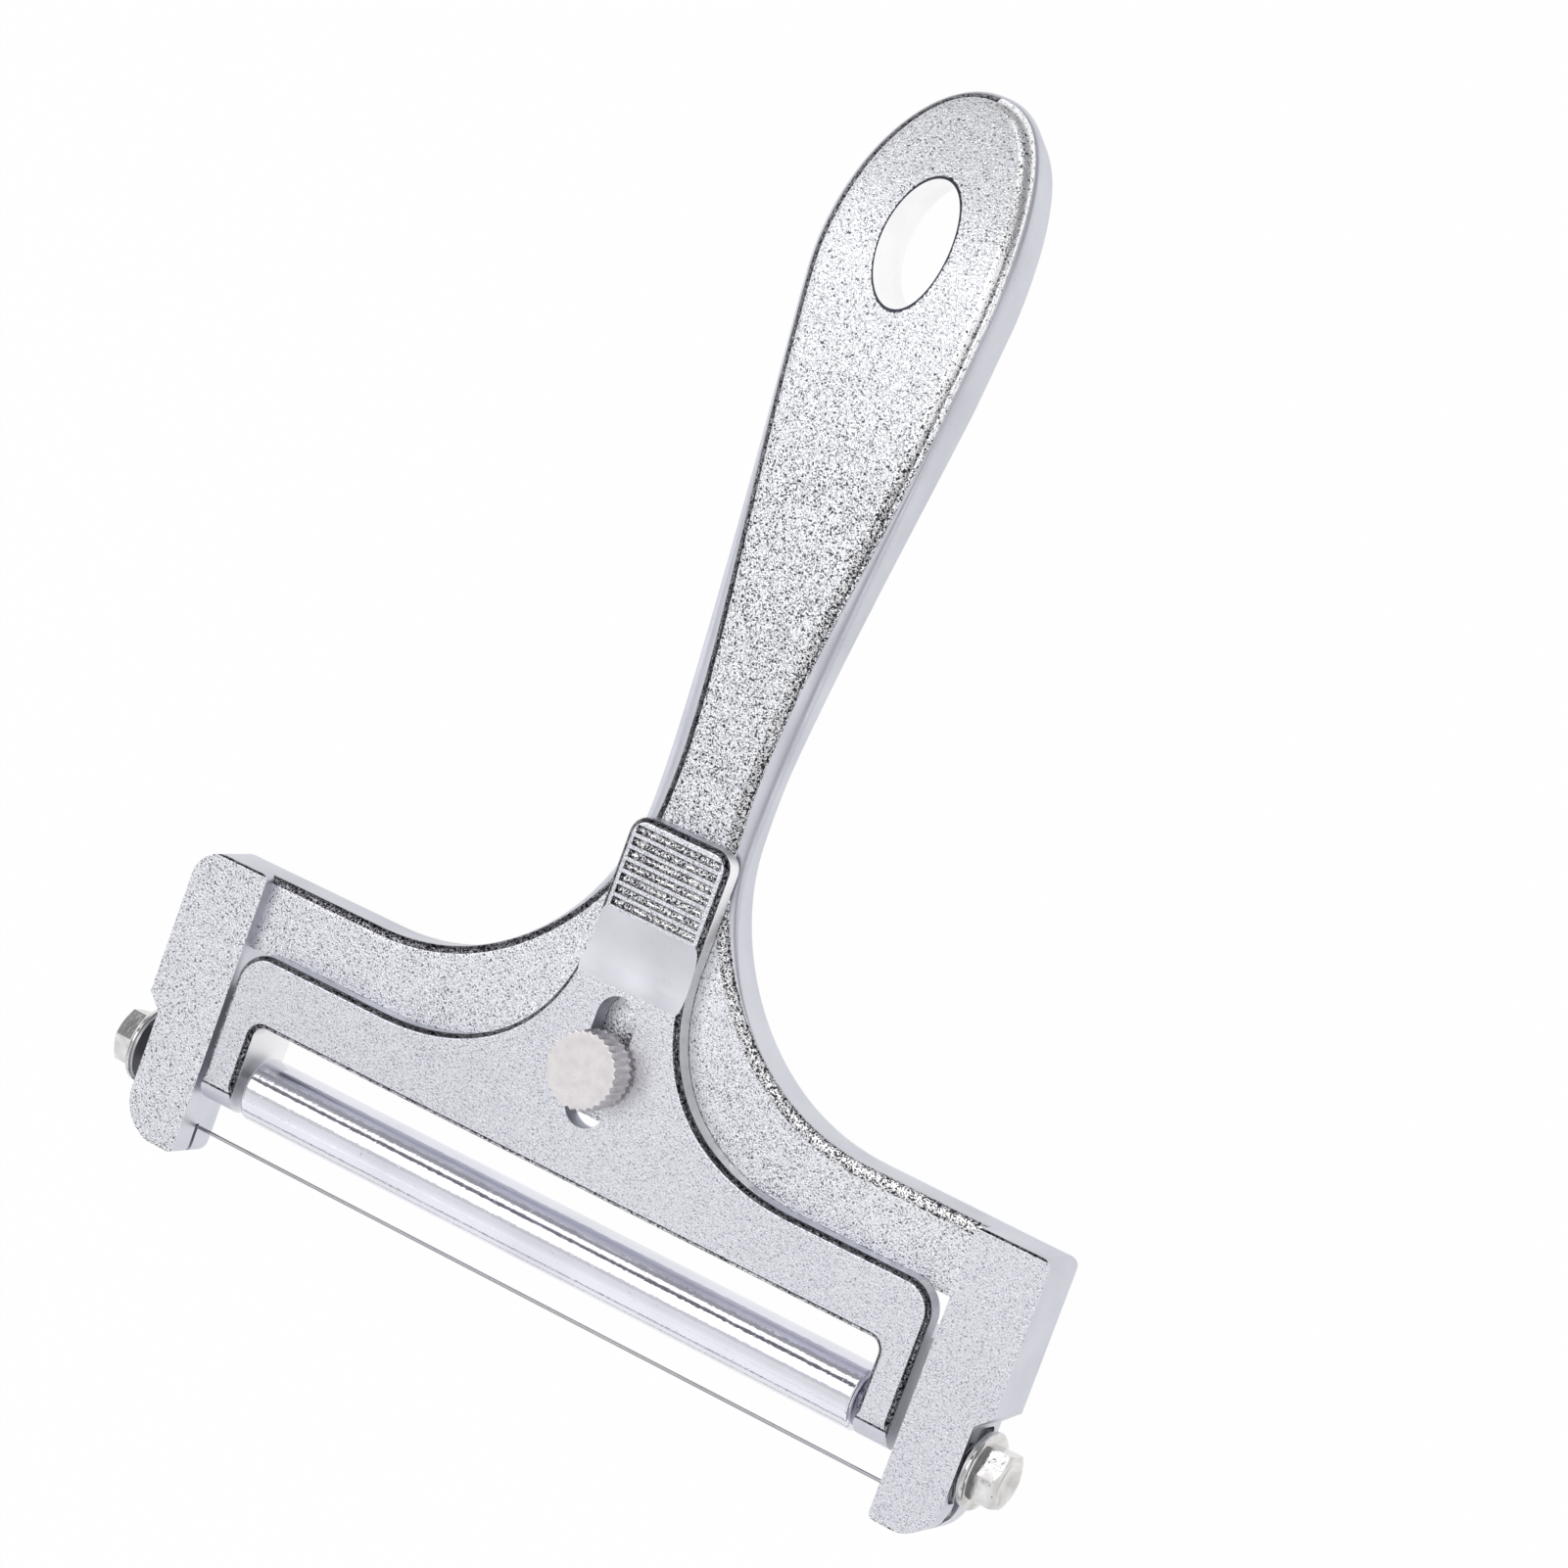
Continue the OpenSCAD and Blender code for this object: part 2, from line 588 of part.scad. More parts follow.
// Wire route on the right: slit, bend, climb to the screw's front, then the coil
bend_mid = [climb_x - bend_r, wire_y + bend_r];
climb_start = wire_y + bend_r;
climb_h = screw_y - climb_start;
climb_curve = [[climb_x, climb_start, 0], [climb_x, climb_start + climb_h * climb_share, 0],
    [climb_x, screw_y - climb_h * climb_share, coil_r], [climb_x, screw_y, coil_r]];
coil_steps = ceil(coil_n * wire_turns);
wire_right = concat(
    [[arm_in, wire_y, 0]],
    [for (i = [0 : bend_n - 1]) let(a = -90 + 90 * i / bend_n)
        [bend_mid[0] + bend_r * cos(a), bend_mid[1] + bend_r * sin(a), 0]],
    [for (i = [0 : climb_n - 1]) cubic(climb_curve, i / climb_n)],
    [for (i = [0 : coil_steps]) let(turns = wire_turns * i / coil_steps, a = 360 * turns)
        [climb_x + coil_pitch * turns, screw_y + coil_r * sin(a), coil_r * cos(a)]]);
wire_path = concat([for (p = reversed(wire_right)) [-p[0], p[1], p[2]]], wire_right);

// A round strand swept along a path; its section is carried without twist
module strand(path, r, n) {
    last = len(path) - 1;
    heading = [for (i = [0 : last])
        unit(unit(path[min(i + 1, last)] - path[min(i, last - 1)])
            + unit(path[max(i, 1)] - path[max(i - 1, 0)]))];
    first = unit(cross(heading[0], [1, 0, 0]));
    side = [for (i = 0, s = first; i <= last;
        i = i + 1, s = i <= last ? unit(s - (s * heading[i]) * heading[i]) : s) s];
    points = [for (i = [0 : last], k = [0 : n - 1]) let(a = 360 * k / n)
        path[i] + r * (cos(a) * side[i] + sin(a) * cross(heading[i], side[i]))];
    walls = [for (i = [0 : last - 1], k = [0 : n - 1]) let(j = (k + 1) % n)
        each quad(i * n + k, (i + 1) * n + k, (i + 1) * n + j, i * n + j)];
    polyhedron(points = points, faces = concat(walls,
        [[for (k = [0 : n - 1]) k]], [[for (k = [n - 1 : -1 : 0]) last * n + k]]),
        convexity = 10);
}

module cutting_wire() {
    color("WhiteSmoke") strand(wire_path, wire_r, wire_n);
}

// Flanged hexagon screw on the right; its head is dished and bevelled
module tension_screw() {
    dish_sphere = (dish_r ^ 2 + dish_depth ^ 2) / (2 * dish_depth);
    top = hex_x + hex_h;
    color("Azure") translate([0, screw_y, 0]) {
        rod_x(thread_end, flange_x + flange_t / 2, thread_r);
        rod_x(flange_x, hex_x, flange_d / 2);
        difference() {
            intersection() {
                translate([hex_x - flange_t / 2, 0, 0]) rotate([hex_turn, 0, 0])
                    rotate([0, 90, 0]) cylinder(h = hex_h + flange_t / 2, r = hex_r, $fn = 6);
                translate([top, 0, 0]) rotate([0, -90, 0]) rotate_extrude($fn = round_n)
                    polygon([[0, 0], [hex_r - hex_bevel * 1.6, 0], [hex_r + over, hex_bevel * 1.6],
                        [hex_r + over, hex_h + flange_t], [0, hex_h + flange_t]]);
            }
            translate([top - dish_depth + dish_sphere, 0, 0])
                sphere(r = dish_sphere, $fn = round_n);
        }
    }
}

module tension_screw_right() {
    tension_screw();
}

module tension_screw_left() {
    mirror([1, 0, 0]) tension_screw();
}

module washer_ring() {
    color("DarkGray") translate([0, screw_y, 0]) difference() {
        rod_x(washer_x, flange_x, washer_d / 2);
        rod_x(washer_x - over, flange_x + over, thread_r + fit_gap);
    }
}

module washer_right() {
    washer_ring();
}

module washer_left() {
    mirror([1, 0, 0]) washer_ring();
}

// Rest the slicer on the ground, centred in plan
module place() {
    translate([0, -mid_y, -min(low_z, -leg_half, -arm_half)]) children();
}

place() frame();
place() roller_bracket();
place() roller();
place() roller_axle();
place() thumb_screw();
place() cutting_wire();
place() tension_screw_left();
place() tension_screw_right();
place() washer_left();
place() washer_right();
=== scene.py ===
# %% [markdown]
# A hand slicer for cheese, seen from above. A plated casting makes the handle, the crossbar
# and two arms. A taut wire runs between the arms and does the cutting. A bracket with a
# roller is clamped on the bar by a thumb screw, and its place sets how thick a slice is.
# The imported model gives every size. Here each part gets its rounded edges and its finish.

# %% Load the frame
import math
import bmesh
import bpy
from mathutils import Matrix, Vector


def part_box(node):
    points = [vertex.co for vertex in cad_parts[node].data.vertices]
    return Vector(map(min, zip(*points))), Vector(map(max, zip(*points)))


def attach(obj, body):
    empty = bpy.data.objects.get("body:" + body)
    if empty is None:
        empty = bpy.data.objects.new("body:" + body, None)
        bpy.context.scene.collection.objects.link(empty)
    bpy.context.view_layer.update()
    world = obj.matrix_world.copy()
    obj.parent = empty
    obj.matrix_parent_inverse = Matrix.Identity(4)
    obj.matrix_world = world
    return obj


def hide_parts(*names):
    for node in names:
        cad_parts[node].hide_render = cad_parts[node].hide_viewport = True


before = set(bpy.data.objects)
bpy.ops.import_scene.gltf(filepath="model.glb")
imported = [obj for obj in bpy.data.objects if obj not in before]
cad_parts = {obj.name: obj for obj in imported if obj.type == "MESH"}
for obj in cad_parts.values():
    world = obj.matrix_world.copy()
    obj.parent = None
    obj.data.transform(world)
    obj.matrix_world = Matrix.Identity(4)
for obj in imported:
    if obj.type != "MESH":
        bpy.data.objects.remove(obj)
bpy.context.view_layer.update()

# %% [markdown]
# Sizes below are in millimetres in the slicer's own view: X across the arms, Y up the
# handle from the bar's lower edge, Z towards the eye from the arms' middle. One matrix
# takes a finished mesh from there to metres in the shared frame. The roller's axis tells
# where that view's zero is, because it lies in the arms' middle plane.

# %% Set the scale and the origin
MM = 0.001
ROLLER_DROP = 17.0
low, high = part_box("roller")
axis = (low + high) / 2
PLACE = Matrix.Translation(axis + Vector((0, ROLLER_DROP * MM, 0))) @ Matrix.Scale(MM, 4)
print("origin of the millimetre view:", tuple(round(v, 5) for v in PLACE.translation))

# %% [markdown]
# The camera stands high over the bar, to the right, and looks down the photograph's line
# of sight. A long lens flattens the view as there. It is set first.

# %% Place the camera
EYE = Vector((322.01, 171.49, 649.20))
EYE_TURN = Vector((0.0851, 0.4743, 0.3827))
LENS, SENSOR, NEAREST = 135.04, 36, 0.05


def aim_camera():
    """Sets the camera by its place and by the turn that the photograph's lines give."""
    rot = Matrix.Rotation(EYE_TURN.length, 3, EYE_TURN.normalized())
    axes = rot @ Matrix.Diagonal(Vector((1, -1, -1)))
    back = Matrix((axes[0], -axes[1], -axes[2])).transposed()
    data = bpy.data.cameras.new("eye")
    data.lens = LENS
    data.sensor_width = SENSOR
    data.clip_start = NEAREST
    eye = bpy.data.objects.new("eye", data)
    bpy.context.collection.objects.link(eye)
    eye.matrix_world = Matrix.Translation(PLACE @ EYE) @ back.to_4x4()
    bpy.context.scene.camera = eye
    return eye


eye = aim_camera()
print("camera at", tuple(round(v, 4) for v in eye.location))

# %% [markdown]
# Shader maths reads best as plain expressions. A small class wraps one socket of a node
# tree, so that adding or multiplying two of them adds the Math node for it. Every other
# node comes from one function that takes its type, its settings and its sockets' values.

# %% Write shader maths as expressions
class Value:
    """A socket in a material's tree, for use in Python expressions."""

    def __init__(self, tree, socket):
        self.tree = tree
        self.socket = socket

    def math(self, how, *others):
        return node(self.tree, "ShaderNodeMath", {"operation": how},
                    dict(enumerate((self,) + others)))

    def __add__(self, other):
        return self.math("ADD", other)

    def __sub__(self, other):
        return self.math("SUBTRACT", other)

    def __rsub__(self, other):
        return (self * -1).math("ADD", other)

    def __mul__(self, other):
        return self.math("MULTIPLY", other)

    def __abs__(self):
        return self.math("ABSOLUTE")

    __radd__ = __add__
    __rmul__ = __mul__


def node(tree, kind, settings, sockets, out=0):
    """Adds a node with its settings first, then its sockets' values or links."""
    made = tree.nodes.new(kind)
    for key, setting in settings.items():
        setattr(made, key, setting)
    for key, given in sockets.items():
        if isinstance(given, Value):
            tree.links.new(given.socket, made.inputs[key])
        else:
            made.inputs[key].default_value = given
    return Value(tree, made.outputs[out])


def new_finish(name):
    """An empty node material: its tree and its surface shader."""
    finish = bpy.data.materials.new(name)
    finish.use_nodes = True
    tree = finish.node_tree
    return finish, tree, tree.nodes["Principled BSDF"]


def feed(tree, shader, **sockets):
    """Sets or links the shader's sockets; a name's underscore stands for a space."""
    for key, given in sockets.items():
        socket = shader.inputs[key.replace("_", " ")]
        if isinstance(given, Value):
            tree.links.new(given.socket, socket)
        else:
            socket.default_value = given


def noise(tree, scale, detail=2.0, warp=0.0):
    """Grey cloud pattern in the object's own space; scale counts features per metre."""
    place = node(tree, "ShaderNodeTexCoord", {}, {}, "Object")
    return node(tree, "ShaderNodeTexNoise", {},
                {"Vector": place, "Scale": scale, "Detail": detail, "Distortion": warp})


def spread(tree, value, low, high, start=0.0, end=1.0):
    """Stretches the span from low to high over start to end, and clamps it."""
    return node(tree, "ShaderNodeMapRange", {"clamp": True},
                {"Value": value, "From Min": low, "From Max": high,
                 "To Min": start, "To Max": end})


def blend(tree, share, first, second):
    """Mixes two colours."""
    return node(tree, "ShaderNodeMix", {"data_type": "RGBA"},
                {"Factor": share, 6: first, 7: second}, 2)


def bump(tree, height, distance):
    """Turns a height pattern into a bent normal; distance is the relief in metres."""
    return node(tree, "ShaderNodeBump", {}, {"Height": height, "Distance": distance})


print("shader helpers are ready")

# %% [markdown]
# The plating changes along the handle. Towards the hanging hole its grain is painted lighter,
# a painted highlight, and a thin dark line follows the hole's rim. Both are masks in the
# object's own space, so they stay on the metal whatever side it is seen from.

# %% Mask the grip's painted highlight and the hole's rim line
HOLE_Y, HOLE_WIDE, HOLE_TALL = 117.2, 4.75, 8.5
HIGHLIGHT_START, HIGHLIGHT_END = 84, 110
LINE_IN, LINE_OUT = 1.03, 1.07


def grip_highlight_mask(tree):
    """A painted highlight: from 0 below the grip to 1 round the hanging hole."""
    place = node(tree, "ShaderNodeTexCoord", {}, {}, "Object")
    height = node(tree, "ShaderNodeSeparateXYZ", {}, {"Vector": place}, 1)
    start, end = ((PLACE @ Vector((0, y, 0))).y for y in (HIGHLIGHT_START, HIGHLIGHT_END))
    return spread(tree, height, start, end)


def hole_line(tree):
    """1 on the dark line round the hanging hole, 0 beyond it."""
    place = node(tree, "ShaderNodeTexCoord", {}, {}, "Object")
    middle = PLACE @ Vector((0, HOLE_Y, 0))
    size = (1 / MM / HOLE_WIDE, 1 / MM / HOLE_TALL, 0)
    pulled = node(tree, "ShaderNodeMapping", {},
                  {"Vector": place, "Scale": size,
                   "Location": (-middle.x * size[0], -middle.y * size[1], 0)})
    reach = node(tree, "ShaderNodeVectorMath", {"operation": "LENGTH"}, {0: pulled}, "Value")
    return spread(tree, reach, LINE_IN, LINE_OUT, 1.0, 0.0)


print("wear runs from", HIGHLIGHT_START, "to", HIGHLIGHT_END, "mm up the handle")

# %% [markdown]
# The faces turned to the eye keep the grain of the mould: fine, crooked, worm-like ridges
# about half a millimetre apart, under a bright plating. A warped cloud pattern folded
# about its middle gives such ridges. They are raised by a bump, and the hollows between
# them are painted darker, a painted shade for the dark that a real hollow mirrors from its
# own walls. The rounded shoulders have the same grain over a darker plating, a painted shade.
# On the right and below, the grain's tops are painted bright instead, a painted highlight. The
# bar and the left arm have a weaker grain than the handle, and the bracket and the right arm the
# finest; that difference between the mirrored arms is painted shade and painted light.

# %% Grained plating
FINE_SPOTS, WIDE_SPOTS = 4200, 60
RIDGE_STEEPNESS, EDGE_SOFTNESS = 5, 0.17


def grained_finish(name, light, dark, depth, fold, rough, cover, grip_highlight=0.0, line=0.0):
    """Plating over a cast grain: fold counts ridges per metre, cover is the dark part."""
    finish, tree, shader = new_finish(name)
    worms = 1 - abs(noise(tree, fold, 2.0, 0.5) - 0.5) * RIDGE_STEEPNESS
    fine = noise(tree, FINE_SPOTS, 2.0)
    wide = noise(tree, WIDE_SPOTS, 2.0)
    relief = spread(tree, worms * 0.8 + fine * 0.45, 0.1, 1.05)
    shine = relief + wide * 0.2 - 0.1
    # The grip's painted highlight lightens the grain towards the hanging hole, and the hole's
    # dark line darkens it.
    if grip_highlight:
        shine = shine + grip_highlight_mask(tree) * grip_highlight
    if line:
        shine = shine - hole_line(tree) * line
    share = spread(tree, shine, cover - EDGE_SOFTNESS, cover + EDGE_SOFTNESS)
    feed(tree, shader, Metallic=1.0, Base_Color=blend(tree, share, dark, light),
         Roughness=spread(tree, relief + fine * 0.4, 0.0, 1.4, rough * 1.3, rough * 0.7),
         Normal=bump(tree, relief, depth))
    return finish


HANDLE = grained_finish("grained_plating", (0.88, 0.89, 0.92, 1), (0.06, 0.06, 0.08, 1),
                        depth=4.5e-5, fold=2700, rough=0.15, cover=0.55, grip_highlight=0.26, line=0.9)
BAR = grained_finish("bar_grained_plating", (0.86, 0.87, 0.91, 1), (0.18, 0.18, 0.22, 1),
                     depth=3.5e-5, fold=2900, rough=0.17, cover=0.45)
PLATE = grained_finish("fine_grained_plating", (0.80, 0.81, 0.86, 1), (0.40, 0.40, 0.46, 1),
                       depth=2.4e-5, fold=3300, rough=0.22, cover=0.46)
# Painted shade: the shoulders' dark plating.
SHOULDER_SHADE = grained_finish("grained_shoulder_painted_shade", (0.42, 0.42, 0.45, 1), (0.01, 0.01, 0.015, 1),
                          depth=2e-5, fold=2400, rough=0.11, cover=0.86)
# Painted highlight: the bright plating of shoulders turned right and down.
SHOULDER_HIGHLIGHT = grained_finish("grained_shoulder_painted_highlight", (0.97, 0.97, 0.98, 1), (0.04, 0.04, 0.05, 1),
                      depth=2e-5, fold=2400, rough=0.13, cover=0.74, grip_highlight=0.4)
print("made", ", ".join(m.name for m in (HANDLE, BAR, PLATE, SHOULDER_SHADE, SHOULDER_HIGHLIGHT)))

# %% [markdown]
# The walls round the casting were ground smooth before plating, so they show one soft
# grey with only a trace of the belt. A stretched cloud pattern makes these faint lines,
# and a wide one changes the gloss a little, as wiping and handling do.

# %% Smooth plating
SPECKS, SPECK_LOW, SPECK_HIGH = 1900, 0.70, 0.78


def smooth_finish(name, colour, rough, stretch, relief=1.2e-6, clouds=90, fade=0.86):
    """Satin or bright plating with faint lines and uneven gloss."""
    finish, tree, shader = new_finish(name)
    place = node(tree, "ShaderNodeTexCoord", {}, {}, "Object")
    pulled = node(tree, "ShaderNodeMapping", {}, {"Vector": place, "Scale": stretch})
    lines = node(tree, "ShaderNodeTexNoise", {},
                 {"Vector": pulled, "Scale": 1.0, "Detail": 2.0})
    wide = noise(tree, clouds, 3.0)
    specks = spread(tree, noise(tree, SPECKS, 1.0), SPECK_LOW, SPECK_HIGH)
    shade = tuple(c * fade for c in colour[:3]) + (1,)
    feed(tree, shader, Metallic=1.0,
         Base_Color=blend(tree, spread(tree, wide + specks * 0.5, 0.35, 1.0), colour, shade),
         Roughness=spread(tree, wide + lines * 0.5, 0.4, 1.1, rough * 0.8, rough * 1.3),
         Normal=bump(tree, lines + specks * -0.5, relief))
    return finish


WALL = smooth_finish("smooth_plating", (0.69, 0.70, 0.76, 1), 0.42, (300, 300, 5000))
THUMB = smooth_finish("rubbed_hollow_plating", (0.78, 0.78, 0.83, 1), 0.5, (300, 5000, 300))
# A near-white copy of the smooth plating for the hanging hole's wall: a painted reflection of the
# white ground.
BORE_REFLECTION = smooth_finish("bore_painted_reflection", (0.97, 0.97, 0.98, 1), 0.1, (300, 300, 5000))
# A near-white copy of the smooth plating for the bracket's walls that look right: a painted
# highlight.
WALL_HIGHLIGHT = smooth_finish("bracket_wall_painted_highlight", (0.97, 0.97, 0.98, 1), 0.42, (300, 300, 5000))
MIRROR = smooth_finish("polished_roller_steel", (0.80, 0.80, 0.87, 1), 0.1, (1800, 1800, 1800),
                       relief=1.6e-5)
SATIN = smooth_finish("turned_knob_plating", (0.90, 0.86, 0.86, 1), 0.28, (1300, 1300, 600),
                      relief=9e-6, clouds=700, fade=0.74)
BRIGHT = smooth_finish("bright_screw_plating", (0.76, 0.75, 0.74, 1), 0.09, (2500, 900, 900),
                       relief=2e-5, clouds=420, fade=0.4)
STRAND = smooth_finish("drawn_wire_steel", (0.40, 0.40, 0.42, 1), 0.16, (150, 5000, 5000))
DULL = smooth_finish("washer_steel", (0.55, 0.55, 0.58, 1), 0.34, (900, 2500, 2500))
print("made", ", ".join(m.name for m in (WALL, THUMB, BORE_REFLECTION, WALL_HIGHLIGHT, MIRROR, SATIN, BRIGHT, STRAND,
                                        DULL)))

# %% [markdown]
# The casting and the bracket carry several of these finishes on one mesh. Each face keeps a
# number that says which, so the numbers get names here. A shoulder face takes its number
# from the way it turns: a painted highlight on the right and below, painted shade elsewhere.

# %% Number the plated finishes
PLATED = (HANDLE, BAR, PLATE, SHOULDER_SHADE, SHOULDER_HIGHLIGHT, WALL, THUMB, BORE_REFLECTION, WALL_HIGHLIGHT)
ON_HANDLE, ON_BAR, ON_PLATE, ON_SHOULDER_SHADE, ON_SHOULDER_HIGHLIGHT, ON_WALL, ON_THUMB, ON_BORE_REFLECTION, ON_WALL_HIGHLIGHT = range(9)
HIGHLIGHT_TILT = 0.12


def shoulder_mark(normal):
    """Number of the finish on a shoulder face of an arm."""
    # Turned right or down: the painted highlight; turned any other way: the painted shade.
    return ON_SHOULDER_HIGHLIGHT if normal.x > HIGHLIGHT_TILT or normal.y < -HIGHLIGHT_TILT else ON_SHOULDER_SHADE


print("numbered", len(PLATED), "finishes")

# %% [markdown]
# Parts are cut from each other as a workshop would cut them, so one helper runs Blender's
# exact Boolean on two meshes and gives back one. Others draw the outlines. Every finished
# mesh goes through one last step: place, shading, body and its finishes.

# %% Drawing and cutting helpers
def arc(x, y, r, start, end, steps=14):
    """Points on a circle's arc, from one angle to another, in degrees."""
    turns = [math.radians(start + (end - start) * i / steps) for i in range(steps + 1)]
    return [Vector((x + r * math.cos(a), y + r * math.sin(a))) for a in turns]


def cubic(a, b, c, d, steps):
    """Points on a cubic curve through four control points."""
    a, b, c, d = (Vector(p) for p in (a, b, c, d))
    return [a * (1 - t) ** 3 + 3 * b * t * (1 - t) ** 2 + 3 * c * t * t * (1 - t) + d * t ** 3
            for t in (i / steps for i in range(steps + 1))]


def prism(outline, low, high, along="Z"):
    """A flat outline drawn out along an axis. Along X it lists places on Y and Z."""
    made = bmesh.new()
    spots = [(p[0], p[1], low) if along == "Z" else (low, p[0], p[1]) for p in outline]
    face = made.faces.new([made.verts.new(p) for p in spots])
    grown = bmesh.ops.extrude_face_region(made, geom=[face])["geom"]
    step = (0, 0, high - low) if along == "Z" else (high - low, 0, 0)
    bmesh.ops.translate(made, vec=step, verts=[g for g in grown
                                               if isinstance(g, bmesh.types.BMVert)])
    bmesh.ops.recalc_face_normals(made, faces=made.faces)
    return made


def block(low, high):
    """A plain block between two corners."""
    made = bmesh.new()
    bmesh.ops.create_cube(made, size=1.0)
    low, high = Vector(low), Vector(high)
    bmesh.ops.scale(made, vec=high - low, verts=made.verts)
    bmesh.ops.translate(made, vec=(low + high) / 2, verts=made.verts)
    return made


def rod(start, end, r, y=0.0, z=0.0, sides=96, along="X"):
    """A round bar along X at a height y and depth z, or along Z at a place y."""
    made = bmesh.new()
    bmesh.ops.create_cone(made, cap_ends=True, segments=sides, radius1=r, radius2=r,
                          depth=end - start)
    bmesh.ops.translate(made, vec=(0, 0, (start + end) / 2), verts=made.verts)
    if along == "X":
        bmesh.ops.rotate(made, matrix=Matrix.Rotation(math.radians(90), 3, "Y"),
                         verts=made.verts)
    bmesh.ops.translate(made, vec=(0, y, z), verts=made.verts)
    return made


def lathe(profile, sides=128):
    """Spins a profile of (radius, place along X) about the X axis."""
    made = bmesh.new()
    dots = [made.verts.new((x, 0, r)) for r, x in profile]
    lines = [made.edges.new(pair) for pair in zip(dots, dots[1:] + dots[:1])]
    bmesh.ops.spin(made, geom=dots + lines, axis=(1, 0, 0), cent=(0, 0, 0),
                   angle=math.tau, steps=sides, use_merge=True, use_duplicate=False)
    bmesh.ops.remove_doubles(made, verts=made.verts, dist=1e-4)
    bmesh.ops.recalc_face_normals(made, faces=made.faces)
    return made


def mirrored(made):
    """A copy turned over the middle plane."""
    other = made.copy()
    bmesh.ops.scale(other, vec=(-1, 1, 1), verts=other.verts)
    bmesh.ops.reverse_faces(other, faces=other.faces)
    return other


def combine(first, second, how="DIFFERENCE"):
    """One exact Boolean of two meshes; both are used up."""
    pair = []
    for made in (first, second):
        mesh = bpy.data.meshes.new("raw")
        made.to_mesh(mesh)
        made.free()
        for finish in PLATED:
            mesh.materials.append(finish)
        thing = bpy.data.objects.new("raw", mesh)
        bpy.context.collection.objects.link(thing)
        pair.append(thing)
    cutter = pair[0].modifiers.new("cut", "BOOLEAN")
    cutter.operation = how
    cutter.solver = "EXACT"
    cutter.object = pair[1]
    bpy.context.view_layer.update()
    graph = bpy.context.evaluated_depsgraph_get()
    made = bmesh.new()
    made.from_mesh(pair[0].evaluated_get(graph).data)
    for thing in pair:
        bpy.data.meshes.remove(thing.data)
    return made


def soften(made, width, segments=2, angle=40):
    """Rounds every edge that is sharper than an angle."""
    sharp = [e for e in made.edges if len(e.link_faces) == 2
             and e.calc_face_angle(0) > math.radians(angle)]
    bmesh.ops.bevel(made, geom=sharp, offset=width, segments=segments, profile=0.5,
                    affect="EDGES", material=-1, clamp_overlap=True)


def finish_piece(made, name, body, stands_for, finishes, angle=38):
    """Turns a mesh in millimetres into a finished piece on its body."""
    bmesh.ops.transform(made, matrix=PLACE, verts=made.verts)
    mesh = bpy.data.meshes.new(name)
    made.to_mesh(mesh)
    made.free()
    for finish in finishes:
        mesh.materials.append(finish)
    mesh.shade_smooth()
    mesh.set_sharp_from_angle(angle=math.radians(angle))
    piece = bpy.data.objects.new(name, mesh)
    bpy.context.collection.objects.link(piece)
    level = piece.modifiers.new("level", "WEIGHTED_NORMAL")
    level.keep_sharp = True
    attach(piece, body)
    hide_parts(stands_for)
    print(name, "has", len(mesh.polygons), "faces")
    return piece


print("helpers are ready")

# %% [markdown]
# The casting first. Its outline is drawn at its widest as three curves for the end, the
# side and the flare, then the bar's straight edge. The grip is thick and swells, the neck
# is thin, and the end of the handle curls down.

# %% Draw the handle's outline
ARM_IN, ARM_OUT, ARM_TOP, ARM_DROP, ARM_HALF = 55.0, 66.0, 10.0, 29.3, 4.05
BAR_FRONT, BAR_X, BAR_RISE = 2.2, 60.5, 0.15
GRIP_END, GRIP_Y, GRIP_HALF, TIP_FLAT = 138.4, 113.0, 13.7, 0.4
NECK_Y, NECK_HALF, FLARE_HALF = 40.0, 7.9, 38.0
END_PULLS, SIDE_PULLS, FLARE_PULLS = (0.64, 0.56), (0.1, 0.3), (0.5, 0.6)


def mix(a, b, t):
    """A value part of the way from one to another."""
    return a + (b - a) * t


end_curve = cubic((TIP_FLAT, GRIP_END), (mix(TIP_FLAT, GRIP_HALF, END_PULLS[0]), GRIP_END),
                  (GRIP_HALF, mix(GRIP_Y, GRIP_END, END_PULLS[1])), (GRIP_HALF, GRIP_Y), 40)
side_curve = cubic((GRIP_HALF, GRIP_Y), (GRIP_HALF, mix(GRIP_Y, NECK_Y, SIDE_PULLS[0])),
                   (NECK_HALF, mix(NECK_Y, GRIP_Y, SIDE_PULLS[1])), (NECK_HALF, NECK_Y), 60)
flare_curve = cubic((NECK_HALF, NECK_Y), (NECK_HALF, mix(NECK_Y, ARM_TOP, FLARE_PULLS[0])),
                    (mix(FLARE_HALF, NECK_HALF, FLARE_PULLS[1]), ARM_TOP + BAR_RISE),
                    (FLARE_HALF, ARM_TOP + BAR_RISE), 44)
bar_line = [Vector((mix(FLARE_HALF, BAR_X, i / 6), ARM_TOP + BAR_RISE * (1 - i / 6)))
            for i in range(1, 7)]
edge = end_curve + side_curve[1:] + flare_curve[1:] + bar_line + [Vector((BAR_X, 0))]
print("outline has", len(edge), "points on each side")

# %% [markdown]
# The edge has a form of its own: a grained shoulder falls to a fine crease, under it a
# smooth wall swells out to the widest place, and a round heel turns to the back. These
# sizes change from the bar to the neck and on to the grip.

# %% Give the edge its form
STEPS = 7
BAR_EDGE = (1.7, 0.1, 0.5, 0.5, 0.8)
NECK_EDGE = (1.7, 2.3, 0.5, 1.4, 1.9)
GRIP_EDGE = (1.9, 0.75, 1.2, 1.4, 1.3)
BAR_THICK, NECK_THICK, GRIP_THICK = 6.15, 4.4, 7.8
BAR_TO, NECK_AT, GRIP_FROM = 14, 50, 100
CURL_Y, CURL_R, DIP_Y, DIP = 108, 52, 60, 0.35


